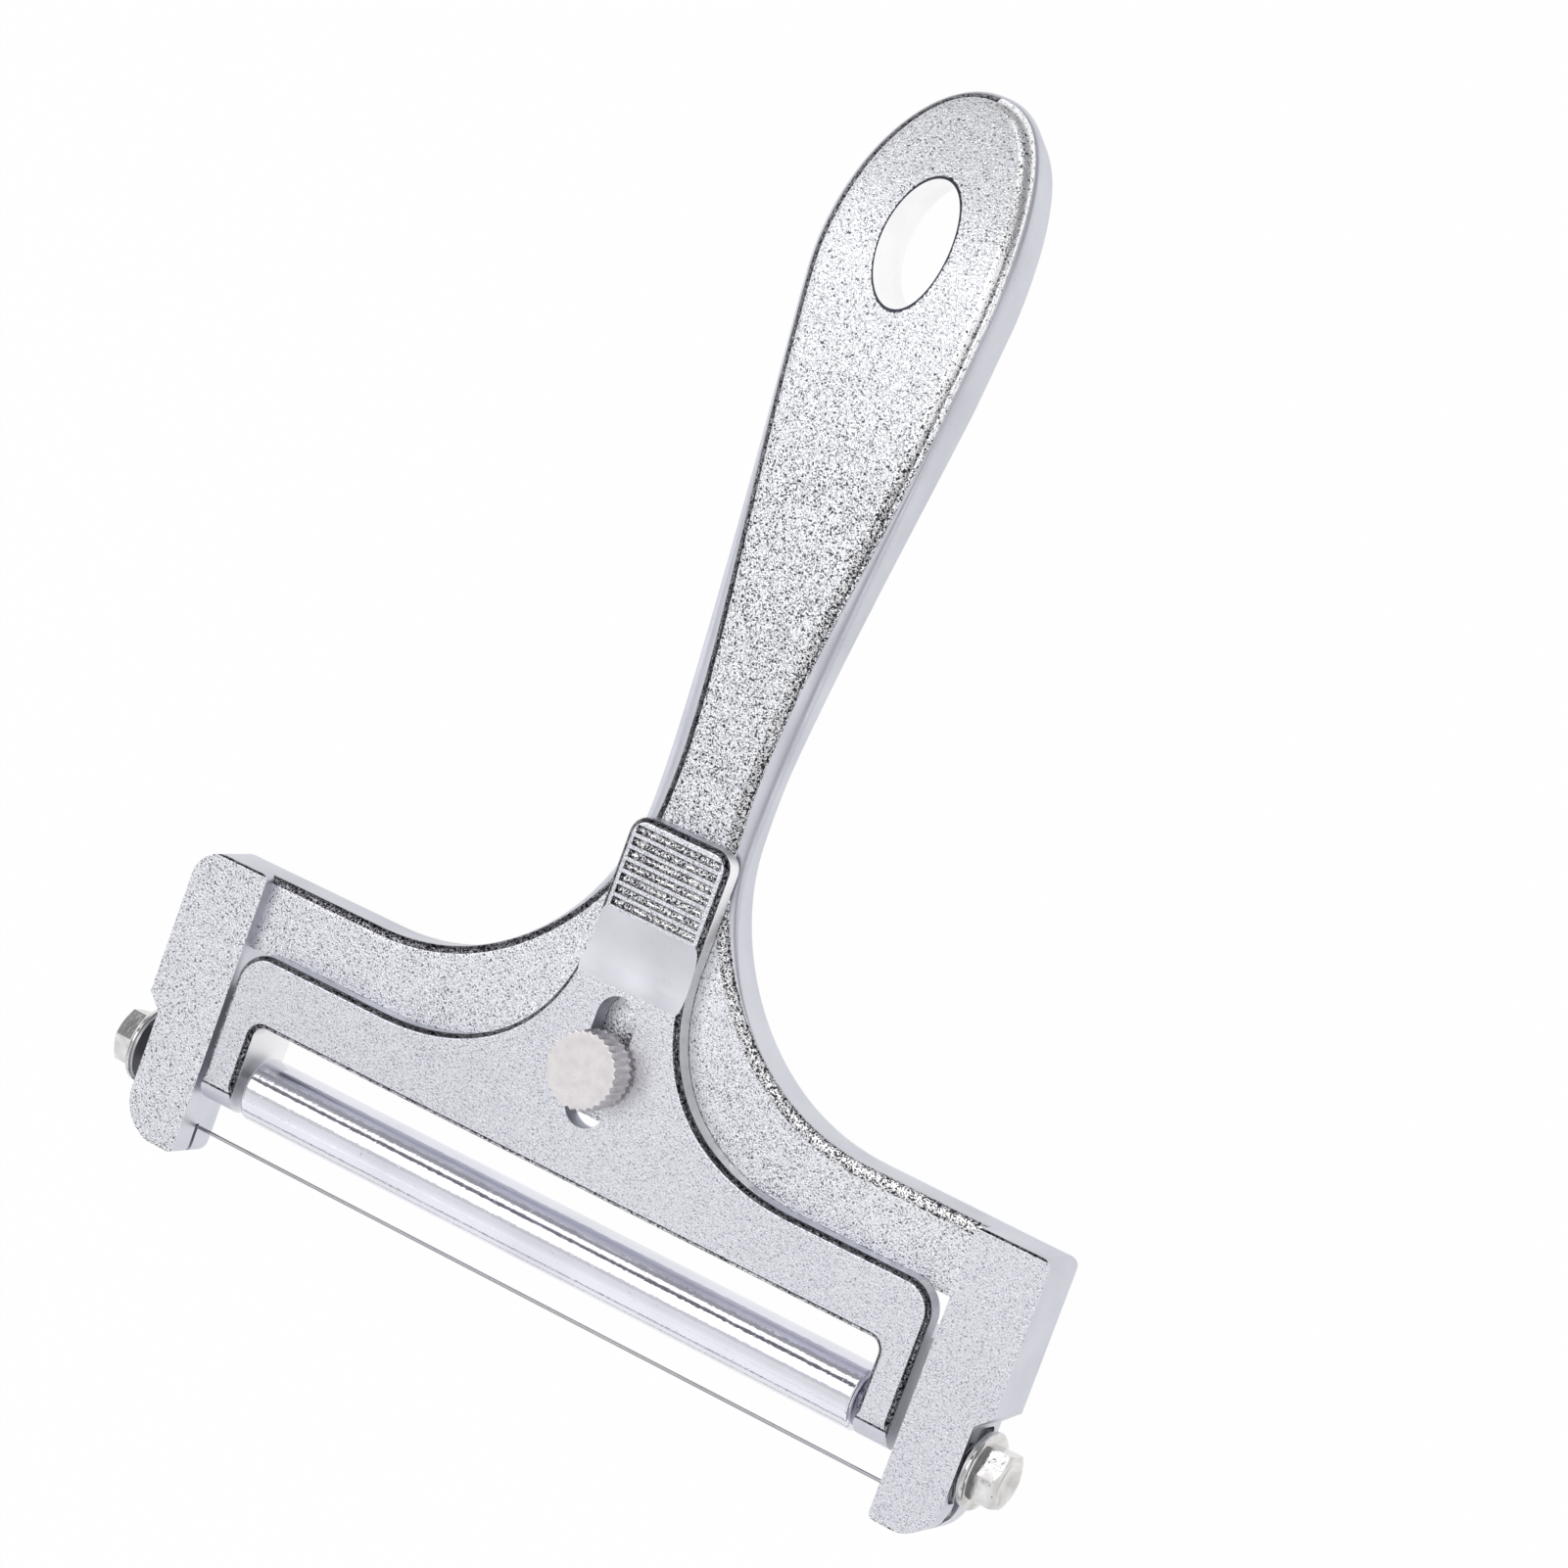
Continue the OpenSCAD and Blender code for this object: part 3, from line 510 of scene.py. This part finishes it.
def part_way(a, b, v):
    """How far a value is from one bound to the other, from 0 to 1."""
    return max(0.0, min(1.0, (v - a) / (b - a)))


def ease(t):
    """The same share with a soft start and end."""
    return t * t * (3 - 2 * t)


def edge_layers(y):
    """Inset and depth of each layer, from the front face round to the back."""
    if y < NECK_AT:
        t = ease(part_way(BAR_TO, NECK_AT, y))
        sizes = [mix(a, b, t) for a, b in zip(BAR_EDGE, NECK_EDGE)]
        thick = mix(BAR_THICK, NECK_THICK, t)
    else:
        t = part_way(NECK_AT, GRIP_FROM, y)
        sizes = [mix(a, b, ease(t)) for a, b in zip(NECK_EDGE, GRIP_EDGE)]
        thick = mix(NECK_THICK, GRIP_THICK, t)
    wide, crease, deep, swell, r = sizes
    turns = [math.pi / 2 * k / STEPS for k in range(STEPS + 1)]
    shoulder = [(crease + wide * (1 - math.sin(a)), deep * (1 - math.cos(a))) for a in turns]
    wall = [(crease * (1 - math.sin(a)), deep + swell * (1 - math.cos(a))) for a in turns[1:]]
    heel = [(r * (1 - math.cos(a)), thick - r * (1 - math.sin(a))) for a in turns]
    return shoulder + wall + heel


def outward(i):
    """Direction away from the outline at one of its points."""
    if i in (0, len(edge) - 2):
        return Vector((0, 1))
    if i == len(edge) - 1:
        return Vector((0, 0))
    way = (edge[i + 1] - edge[i]).normalized() + (edge[i] - edge[i - 1]).normalized()
    return Vector((-way[1], way[0])).normalized()


def skin_point(i, k, side):
    """A point of the casting's skin: outline point, layer and side."""
    inset, depth = edge_layers(edge[i][1])[k]
    x, y = edge[i] - outward(i) * inset
    curl = max(0.0, y - CURL_Y)
    front = BAR_FRONT - DIP * ease(part_way(DIP_Y, CURL_Y, y)) - curl ** 2 / (2 * CURL_R)
    drop = depth / math.hypot(curl / CURL_R, 1)
    return (side * x, y - drop * curl / CURL_R, front - drop)


print("the edge has", len(edge_layers(0)), "layers")

# %% [markdown]
# The skin is laid over those points in rows: down each side layer by layer, then straight
# across the front and the back. The front takes the grain, stronger above the thumb tab and
# weaker below it. The shoulder above the crease is painted dark on the left, a painted shade,
# where its inner strip still belongs to the front, and painted bright on the right, a painted
# highlight. The rest is smooth.

# %% Lay the casting's skin
GRAIN_FROM = 34
INNER_LAYERS = 2


def front_mark(i):
    """Number of the front's finish at a point of the outline."""
    return ON_HANDLE if edge[i][1] > GRAIN_FROM else ON_BAR


def side_mark(i, k, side):
    """Number of the finish on a side face at an outline point and layer."""
    if k >= STEPS:
        return ON_WALL
    # The right side's shoulder takes the painted highlight, the left side's the painted shade.
    if side > 0:
        return ON_SHOULDER_HIGHLIGHT
    return front_mark(i) if k < INNER_LAYERS else ON_SHOULDER_SHADE


def handle_and_bar():
    """The casting without its arms and holes."""
    made = bmesh.new()
    layers = len(edge_layers(0))
    grid = {(side, k): [made.verts.new(skin_point(i, k, side)) for i in range(len(edge))]
            for side in (1, -1) for k in range(layers)}
    last = len(edge) - 1
    for i in range(last):
        for k, mark in ((0, front_mark(i)), (layers - 1, ON_WALL)):
            right, left = grid[1, k], grid[-1, k]
            made.faces.new((right[i], right[i + 1], left[i + 1], left[i])).material_index = mark
        for side in (1, -1):
            for k in range(layers - 1):
                up, down = grid[side, k], grid[side, k + 1]
                face = made.faces.new((up[i], up[i + 1], down[i + 1], down[i]))
                face.material_index = side_mark(i, k, side)
    for k in range(layers - 1):
        across = [grid[1, k][0], grid[-1, k][0], grid[-1, k + 1][0], grid[1, k + 1][0]]
        made.faces.new(across).material_index = side_mark(0, k, -1)
    foot = [grid[1, k][last] for k in range(layers)]
    foot += [grid[-1, k][last] for k in reversed(range(layers))]
    made.faces.new(foot).material_index = ON_WALL
    bmesh.ops.recalc_face_normals(made, faces=made.faces)
    return made


print("the stronger grain starts", GRAIN_FROM, "mm up")

# %% [markdown]
# An arm is a rounded bar. Seen from the front it has a wide foot corner and a step where the
# screw's seat begins, and seen from the side its lower end is rounded towards the back. Each
# outline is drawn out to a block, and what the two blocks share is the arm. The left arm is
# the right one's mirror image, but with a larger top corner.

# %% Cross the arms' outlines
SCREW_Y, WIRE_Y, SEAT_X = -18.4, -25.5, 63.9
STEP_Y, STEP_SLOPE, FOOT_R = -12.8, 2.0, 5.9
INNER_R, FRONT_R, HEEL_R, TOE_R = 1, 0.4, 0.9, 2
ROUNDING = 0.6
RIGHT_CORNER, LEFT_CORNER = 1.4, 4.2


def right_arm(corner, mark):
    """A rounded bar: its front outline crossed with its side outline."""
    front = (arc(ARM_IN + INNER_R, ARM_TOP - INNER_R, INNER_R, 180, 90)
             + arc(ARM_OUT - corner, ARM_TOP - corner, corner, 90, 0)
             + [(ARM_OUT, STEP_Y + STEP_SLOPE), (SEAT_X, STEP_Y)]
             + arc(SEAT_X - FOOT_R, FOOT_R - ARM_DROP, FOOT_R, 0, -90)
             + arc(ARM_IN + INNER_R, INNER_R - ARM_DROP, INNER_R, -90, -180))
    side = (arc(ARM_TOP - FRONT_R, ARM_HALF - FRONT_R, FRONT_R, 0, 90)[::-1]
            + arc(ARM_TOP - HEEL_R, HEEL_R - ARM_HALF, HEEL_R, 0, -90)
            + arc(TOE_R - ARM_DROP, TOE_R - ARM_HALF, TOE_R, -90, -180)
            + arc(FRONT_R - ARM_DROP, ARM_HALF - FRONT_R, FRONT_R, 180, 90))
    made = combine(prism(front, -9, 9), prism(side, ARM_IN - 5, ARM_OUT + 5, "X"), "INTERSECT")
    soften(made, ROUNDING, 3, 50)
    for face in made.faces:
        up = face.normal.z
        rim = shoulder_mark(face.normal)
        face.material_index = mark if up > 0.98 else rim if up > 0.3 else ON_WALL
    return made


# The right arm's front takes the plate's lighter grain and the left arm's the bar's darker one:
# painted light on the right arm, painted shade on the left.
right = right_arm(RIGHT_CORNER, ON_PLATE)
left = mirrored(right_arm(LEFT_CORNER, ON_BAR))
print("arms have", len(right.faces), "and", len(left.faces), "faces")

# %% [markdown]
# The arms join the bar, and the holes are cut through all of it: the hanging hole in the
# grip, the bore for the thumb screw, and in each arm the screw's bore, the slit that the
# wire enters by and the pocket behind the screw's head.

# %% Join the arms and cut the holes
SCREW_BORE_R, SCREW_BORE_START = 2.05, 56.5
SLIT_HALF = 0.35
HEAD_POCKET, POCKET_R = (-23.4, -13.3, -2.8, 3.3), 0.9


def pocket(y_low, y_high, z_low, z_high):
    """A rounded recess in an arm's outer wall."""
    r = POCKET_R
    corners = ((y_high - r, z_high - r), (y_low + r, z_high - r),
               (y_low + r, z_low + r), (y_high - r, z_low + r))
    outline = [dot for i, (y, z) in enumerate(corners) for dot in
               arc(y, z, r, 90 * i, 90 * i + 90, 8)]
    return prism(outline, SEAT_X - 1, SEAT_X + 1, "X")


casting = combine(handle_and_bar(), right, "UNION")
casting = combine(casting, left, "UNION")
for side in (1, -1):
    cuts = [rod(SCREW_BORE_START, 70, SCREW_BORE_R, SCREW_Y),
            block((52, -31, -SLIT_HALF), (68, WIRE_Y + SLIT_HALF, SLIT_HALF)),
            pocket(*HEAD_POCKET), pocket(WIRE_Y - 1, SCREW_Y, -1, 1)]
    for cut in cuts:
        for face in cut.faces:
            face.material_index = ON_WALL
        casting = combine(casting, cut if side > 0 else mirrored(cut))
hole = rod(-30, 8, 1.0, sides=120, along="Z")
bmesh.ops.scale(hole, vec=(HOLE_WIDE, HOLE_TALL, 1), verts=hole.verts)
bmesh.ops.translate(hole, vec=(0, HOLE_Y, 0), verts=hole.verts)
KNOB_Y, CLAMP_BORE_R = 6.8, 2.05
# The hanging hole's wall takes the near-white plating, a painted reflection.
for cut, mark in ((hole, ON_BORE_REFLECTION), (rod(-8, 6, CLAMP_BORE_R, KNOB_Y, along="Z"), ON_WALL)):
    for face in cut.faces:
        face.material_index = mark
    casting = combine(casting, cut)
casting = finish_piece(casting, "casting", "casting", "frame", PLATED)

# %% [markdown]
# The bracket is one pressed and milled piece: a flat bar that narrows into a thumb tab,
# with a leg at each end that reaches back to hold the roller. Its front edges are broadly
# rounded, so the outline is drawn, thickened, and its front rim bevelled.

# %% Draw the bracket
PLATE_BACK, PLATE_FRONT, PLATE_TOP, PLATE_FLARE = 2.3, 5.2, 0.8, 32
LEG_OUT, LEG_IN, LEG_END, LEG_HALF, LEG_CORNER = 53.9, 48.95, -20.9, 5.1, 4.3
NOTCH_Y, NOTCH_R = -8.3, 1.6
TAB_HALF, TAB_TOP, TAB_ROOT, TAB_R, TAB_PULL = 7.6, 38.7, 23.0, 2.6, 0.62
RIM_WIDTH = 0.9


def bracket_outline():
    """The bracket's front outline, from the tab's top down the right side and back up."""
    right = (arc(TAB_HALF - TAB_R, TAB_TOP - TAB_R, TAB_R, 90, 0)
             + cubic((TAB_HALF, TAB_ROOT), (TAB_HALF, mix(TAB_ROOT, PLATE_TOP, TAB_PULL)),
                     (mix(PLATE_FLARE, TAB_HALF, TAB_PULL), PLATE_TOP),
                     (PLATE_FLARE, PLATE_TOP), 40)
             + arc(LEG_OUT - LEG_CORNER, PLATE_TOP - LEG_CORNER, LEG_CORNER, 90, 0)
             + [Vector((LEG_OUT, LEG_END - 1)), Vector((LEG_IN, LEG_END - 1))]
             + arc(LEG_IN - NOTCH_R, NOTCH_Y - NOTCH_R, NOTCH_R, 0, 90))
    return right + [Vector((-p[0], p[1])) for p in reversed(right)]


bracket = prism(bracket_outline(), PLATE_BACK, PLATE_FRONT)
rim = [e for e in bracket.edges if all(v.co.z > PLATE_FRONT - 0.01 for v in e.verts)]
bmesh.ops.bevel(bracket, geom=rim, offset=RIM_WIDTH, segments=6, profile=0.5, affect="EDGES",
                material=-1)
print("bracket plate has", len(bracket.faces), "faces")

# %% [markdown]
# The legs' deep parts are joined to the plate, and one cut rounds both ends about the
# roller's axis. The bare faces take the finest grain, the rim is painted dark as shade but
# painted bright below as a highlight, and the walls that look to the right are painted
# brighter as a highlight. Then come the clamp slot, seven grooves that leave the tab's six
# ribs, and the shallow hollow where the thumb lies.

# %% Add the legs and cut the slot, ribs and hollow
LEG_TOP, LEG_FRONT, END_R = -5.7, 3.7, 4.2
SLOT_LOW, SLOT_HIGH, SLOT_R = 1.85, 13.55, 2.95
GROOVES, GROOVE_Y, GROOVE_PITCH, GROOVE_R, GROOVE_HALF = 7, 36.8, 1.6, 0.55, 6.4
HOLLOW_Y, HOLLOW_LONG, HOLLOW_DEEP = 21.75, 9, 0.8
AXLE_SEAT_X, AXLE_SEAT_HALF, AXLE_R = 50.5, 1.7, 1.55


def bracket_mark(face):
    """Number of the finish on a face of the bracket before its cuts."""
    way = face.normal
    up = way.z if face.calc_center_median().y > LEG_END + 2.4 else 0
    if up > 0.95:
        return ON_PLATE
    # A rim turned down takes the painted highlight, any other rim the painted shade.
    if up > 0.2:
        return ON_SHOULDER_HIGHLIGHT if way.y < -0.5 else ON_SHOULDER_SHADE
    # A wall turned right takes the near-white plating, a painted highlight.
    return ON_WALL_HIGHLIGHT if way.x > 0.1 and abs(way.y) < 0.98 else ON_WALL


for side in (1, -1):
    leg = block((LEG_IN, LEG_END - 1, -LEG_HALF), (LEG_OUT, LEG_TOP, LEG_FRONT))
    bracket = combine(bracket, leg if side > 0 else mirrored(leg), "UNION")
below = prism([(LEG_END - 3, 9), (LEG_END + END_R, 9)]
              + arc(LEG_END + END_R, PLATE_FRONT - END_R, END_R, 90, 180, 20)
              + arc(LEG_END + END_R, END_R - LEG_HALF, END_R, 180, 270, 20)
              + [(LEG_END + END_R, -9), (LEG_END - 3, -9)], -58, 58, "X")
bracket = combine(bracket, below)
for face in bracket.faces:
    face.material_index = bracket_mark(face)

slot = prism(arc(0, SLOT_LOW, SLOT_R, 180, 360, 24) + arc(0, SLOT_HIGH, SLOT_R, 0, 180, 24), 0, 9)
hollow_r = (HOLLOW_LONG ** 2 / 4 + HOLLOW_DEEP ** 2) / (2 * HOLLOW_DEEP)
hollow = rod(-32, 32, hollow_r, HOLLOW_Y, PLATE_FRONT - HOLLOW_DEEP + hollow_r, 240)
cuts = [(slot, ON_WALL)]
# The grooves take the shoulders' painted-highlight grain.
cuts += [(rod(-GROOVE_HALF, GROOVE_HALF, GROOVE_R, GROOVE_Y - GROOVE_PITCH * i, PLATE_FRONT, 32),
          ON_SHOULDER_HIGHLIGHT) for i in range(GROOVES)]
cuts += [(hollow, ON_THUMB)]
cuts += [(rod(s * AXLE_SEAT_X - AXLE_SEAT_HALF, s * AXLE_SEAT_X + AXLE_SEAT_HALF, AXLE_R,
              -ROLLER_DROP), ON_WALL) for s in (1, -1)]
for cut, mark in cuts:
    for face in cut.faces:
        face.material_index = mark
    bracket = combine(bracket, cut)
bracket = finish_piece(bracket, "roller_carrier", "bracket", "roller_bracket",
                       PLATED)

# %% [markdown]
# The roller is a polished steel tube with a small rounded bevel at each end. It is spun
# from a profile about its axle. The axle itself shows only in the gaps beside it, and its
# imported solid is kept, with a finish of its own.

# %% Turn the roller
ROLL_END, ROLL_R, ROLL_BEVEL = 48.05, 4.4, 0.75
profile = [(AXLE_R, -ROLL_END), (ROLL_R - ROLL_BEVEL, -ROLL_END)]
profile += [(ROLL_R - ROLL_BEVEL + p[0], -ROLL_END + ROLL_BEVEL + p[1])
            for p in arc(0, 0, ROLL_BEVEL, -90, 0, 6)]
profile += [(r, -x) for r, x in reversed(profile)]
roller = lathe([(r, x) for i, (r, x) in enumerate(profile) if (r, x) != profile[i - 1]], 160)
bmesh.ops.translate(roller, vec=(0, -ROLLER_DROP, 0), verts=roller.verts)
roller = finish_piece(roller, "polished_roller", "roller", "roller", (MIRROR,))

# %% [markdown]
# The thumb screw has a low head with thirty scallops round it, which give the fingers a
# hold. One scalloped outline is drawn out and its upper rim broken; a narrower neck and
# the thread go below it.

# %% Turn the thumb screw
KNOB_BASE, KNOB_R, KNOB_HIGH, KNOB_BEVEL = 5.3, 5.15, 4.6, 0.14
SCALLOPS, SCALLOP_DEEP, SCALLOP_FORM, RIM_POINTS = 30, 0.34, 1.4, 360
KNOB_NECK_R, KNOB_NECK_HIGH = 4.5, 0.5
THREAD_R, THREAD_END = 2.0, -3.45


def scallop(a):
    """The rim's radius at an angle."""
    return KNOB_R - SCALLOP_DEEP * abs(math.sin(SCALLOPS / 2 * a)) ** SCALLOP_FORM


turns = [math.tau * i / RIM_POINTS for i in range(RIM_POINTS)]
rim = [Vector((scallop(a) * math.cos(a), KNOB_Y + scallop(a) * math.sin(a))) for a in turns]
knob = prism(rim, KNOB_BASE + KNOB_NECK_HIGH, KNOB_BASE + KNOB_HIGH)
top = [e for e in knob.edges if all(v.co.z > KNOB_BASE + KNOB_HIGH - 0.01 for v in e.verts)]
bmesh.ops.bevel(knob, geom=top, offset=KNOB_BEVEL, segments=2, profile=0.5, affect="EDGES",
                material=-1)
for end, r in ((KNOB_BASE, KNOB_NECK_R), (THREAD_END, THREAD_R)):
    knob = combine(knob, rod(end, KNOB_BASE + 1, r, KNOB_Y, along="Z"), "UNION")
knob = finish_piece(knob, "scalloped_knob", "thumb_screw", "thumb_screw", (SATIN,),
                    angle=25)

# %% [markdown]
# Each wire end is pulled tight by a hexagon screw with a flange, turned into an arm's outer
# wall. The head is a six-sided bar with its corners turned off by a cone and a shallow dish
# in its end. One screw is built on the right and the other is its mirror image.

# %% Build the tension screws
FLANGE_X, FLANGE_R, FLANGE_TOP_R, FLANGE_SLOPE = 65.21, 5.25, 5.0, 0.35
HEX_X, HEX_H, HEX_FLATS, HEX_TURN, HEX_CHAMFER = 66.01, 3.2, 7.0, 24, 0.8
DISH_R, DISH_DEEP = 2.8, 0.6
SCREW_START = 56.7


def hex_head(corner, top):
    """A six-sided bar lying along X, a little longer than the head."""
    head = bmesh.new()
    long = HEX_H + 0.4
    bmesh.ops.create_cone(head, cap_ends=True, segments=6, radius1=corner, radius2=corner,
                          depth=long)
    for degrees, axis in ((90, "Y"), (HEX_TURN, "X")):
        bmesh.ops.rotate(head, matrix=Matrix.Rotation(math.radians(degrees), 3, axis),
                         verts=head.verts)
    bmesh.ops.translate(head, vec=(top - long / 2, 0, 0), verts=head.verts)
    return head


def tension_screw():
    """The right screw: head with turned-off corners and a dish, flange and shank."""
    corner = HEX_FLATS / math.sqrt(3)
    top = HEX_X + HEX_H
    cone = lathe([(0, top), (corner - HEX_CHAMFER, top), (corner + 1, top - HEX_CHAMFER),
                  (corner + 1, HEX_X - 2), (0, HEX_X - 2)])
    head = combine(hex_head(corner, top), cone, "INTERSECT")
    ball_r = (DISH_R ** 2 + DISH_DEEP ** 2) / (2 * DISH_DEEP)
    ball = bmesh.new()
    bmesh.ops.create_uvsphere(ball, u_segments=96, v_segments=64, radius=ball_r)
    bmesh.ops.translate(ball, vec=(top - DISH_DEEP + ball_r, 0, 0), verts=ball.verts)
    head = combine(head, ball)
    soften(head, 0.1, 2, 25)
    flange = lathe([(0, FLANGE_X), (FLANGE_R, FLANGE_X), (FLANGE_R, HEX_X - FLANGE_SLOPE),
                    (FLANGE_TOP_R, HEX_X), (0, HEX_X)], 96)
    soften(flange, 0.12, 2, 50)
    head = combine(head, flange, "UNION")
    head = combine(head, rod(SCREW_START, FLANGE_X + 0.4, THREAD_R), "UNION")
    bmesh.ops.translate(head, vec=(0, SCREW_Y, 0), verts=head.verts)
    return head


screw = tension_screw()
finish_piece(mirrored(screw), "wire_screw_left", "left_screw",
             "tension_screw_left", (BRIGHT,))
finish_piece(screw, "wire_screw_right", "right_screw",
             "tension_screw_right", (BRIGHT,))

# %% [markdown]
# The wire is one half-millimetre steel strand. From the middle it runs through a slit in
# each arm, bends up the outer wall and winds twice round the screw. A ring is moved along
# that path and skinned, so its surface stays smooth in the bends.

# %% Sweep the wire
CLIMB_X, COIL_R, COIL_PITCH, TURNS = 63.25, 2.35, 0.55, 2.2
WIRE_R, BEND_R, CLIMB_PULL, COIL_POINTS = 0.25, 0.5, 0.4, 80


def wire_route():
    """Points of the right half, from the middle out, in millimetres."""
    start = WIRE_Y + BEND_R
    climb = SCREW_Y - start
    route = [Vector((x, WIRE_Y, 0)) for x in (0, 20, 40, 55)]
    route += [Vector((CLIMB_X - BEND_R + p[0], start + p[1], 0))
              for p in arc(0, 0, BEND_R, -90, 0, 10)]
    rise = cubic((start, 0), (start + CLIMB_PULL * climb, 0),
                 (SCREW_Y - CLIMB_PULL * climb, COIL_R), (SCREW_Y, COIL_R), 12)
    route += [Vector((CLIMB_X, p[0], p[1])) for p in rise[1:-1]]
    for i in range(COIL_POINTS + 1):
        turn = TURNS * i / COIL_POINTS
        a = math.tau * turn
        route.append(Vector((CLIMB_X + COIL_PITCH * turn, SCREW_Y + COIL_R * math.sin(a),
                             COIL_R * math.cos(a))))
    return route


def sweep(route, r, sides=12):
    """A round strand along a route; its ring is carried without twist."""
    made = bmesh.new()
    rings = []
    across = None
    for i, spot in enumerate(route):
        ahead = (route[min(i + 1, len(route) - 1)] - route[max(i - 1, 0)]).normalized()
        across = ahead.cross(Vector((0, 0, 1))) if across is None else across
        across = (across - ahead * across.dot(ahead)).normalized()
        other = ahead.cross(across)
        rings.append([made.verts.new(spot + r * (math.cos(a) * across + math.sin(a) * other))
                      for a in (math.tau * k / sides for k in range(sides))])
    for near, far in zip(rings, rings[1:]):
        for k in range(sides):
            made.faces.new((near[k], near[k - 1], far[k - 1], far[k]))
    made.faces.new(rings[0])
    made.faces.new(rings[-1])
    bmesh.ops.recalc_face_normals(made, faces=made.faces)
    return made


half = wire_route()
route = [Vector((-p[0], p[1], p[2])) for p in reversed(half)] + half[1:]
length = sum((b - a).length for a, b in zip(route, route[1:]))
print("the wire is", round(length, 1), "mm long")
wire = finish_piece(sweep(route, WIRE_R), "steel_wire", "casting", "cutting_wire",
                    (STRAND,))

# %% [markdown]
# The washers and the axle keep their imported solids. They only need a finish: a dull, worn
# steel for the thin rings, and the roller's polish for the pin inside it.

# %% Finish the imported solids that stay
for name, finish in (("washer_left", DULL), ("washer_right", DULL), ("roller_axle", MIRROR)):
    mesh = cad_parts[name].data
    mesh.materials.clear()
    mesh.materials.append(finish)
print("finished the washers and the axle")

# %% [markdown]
# The photograph has an even white ground and broad soft light. Flat plated faces are mirrors
# of what hangs above them, so lamps there set their greys. The brightest one is mirrored by
# the grip, and dimmer ones side by side with it by the neck, the bar and the bracket. Three
# low lamps light the walls. The room itself is pale low down and dim overhead, which gives
# the metal something to mirror from every side.

# %% Set the ground and the lights
def ground():
    """A wide pale floor that keeps a faint shadow and shows white to the camera."""
    made = bmesh.new()
    bmesh.ops.create_grid(made, x_segments=1, y_segments=1, size=2.0)
    mesh = bpy.data.meshes.new("floor")
    made.to_mesh(mesh)
    made.free()
    floor = bpy.data.objects.new("floor", mesh)
    bpy.context.collection.objects.link(floor)
    finish, tree, shader = new_finish("pale_ground")
    feed(tree, shader, Base_Color=(0.9, 0.9, 0.9, 1), Roughness=0.9)
    rays = tree.nodes.new("ShaderNodeLightPath")
    seen = node(tree, "ShaderNodeMath", {"operation": "MAXIMUM"},
                {0: Value(tree, rays.outputs["Is Camera Ray"]),
                 1: Value(tree, rays.outputs["Is Glossy Ray"])})
    seen = node(tree, "ShaderNodeMath", {"operation": "MAXIMUM"},
                {0: seen, 1: Value(tree, rays.outputs["Is Transmission Ray"])})
    glow = node(tree, "ShaderNodeEmission", {}, {"Color": (1, 1, 1, 1), "Strength": 1.0})
    mixed = node(tree, "ShaderNodeMixShader", {},
                 {0: seen * 0.98, 1: Value(tree, shader.outputs[0]), 2: glow})
    tree.links.new(mixed.socket, tree.nodes["Material Output"].inputs["Surface"])
    mesh.materials.append(finish)


def lamp(name, place, target, size, radiance):
    """A square soft lamp that shines from a place to a target."""
    data = bpy.data.lights.new(name, "AREA")
    data.shape = "RECTANGLE"
    data.size, data.size_y = size
    data.energy = radiance * math.pi * size[0] * size[1]
    light = bpy.data.objects.new(name, data)
    bpy.context.collection.objects.link(light)
    light.location = place
    light.rotation_euler = (Vector(target) - Vector(place)).to_track_quat("-Z", "Y").to_euler()


ground()
lamp("overhead", (-0.52, 0.22, 1.0), (-0.52, 0.22, 0.0), (0.78, 0.56), 1.9)
lamp("overhead_far", (-0.52, 1.15, 1.0), (-0.52, 1.15, 0.0), (0.78, 0.6), 1.4)
lamp("overhead_mid", (-0.52, -0.17, 1.0), (-0.52, -0.17, 0.0), (0.78, 0.22), 0.62)
lamp("overhead_low", (-0.52, -0.79, 1.0), (-0.52, -0.79, 0.0), (0.78, 1.02), 0.8)
lamp("zenith", (0.2, -0.2, 1.0), (0.2, -0.2, 0.0), (0.6, 2.2), 0.8)
lamp("side", (1.1, -0.1, 0.55), (0, 0, 0), (1.2, 0.6), 0.95)
lamp("left", (-1.3, 0.0, 0.35), (0, 0, 0), (1.6, 0.6), 1.0)
lamp("front", (-0.4, -1.2, 0.45), (0, 0, 0), (1.8, 0.7), 0.7)
world = bpy.data.worlds.new("room")
world.use_nodes = True
tree = world.node_tree
way = node(tree, "ShaderNodeTexCoord", {}, {}, "Generated")
rise = node(tree, "ShaderNodeSeparateXYZ", {}, {"Vector": way}, 2)
walls = blend(tree, spread(tree, rise, 0.5, 0.82), (0.43, 0.43, 0.45, 1), (0.10, 0.10, 0.11, 1))
feed(tree, tree.nodes["Background"], Color=walls, Strength=0.85)
bpy.context.scene.world = world
bpy.context.scene.view_settings.view_transform = "Standard"
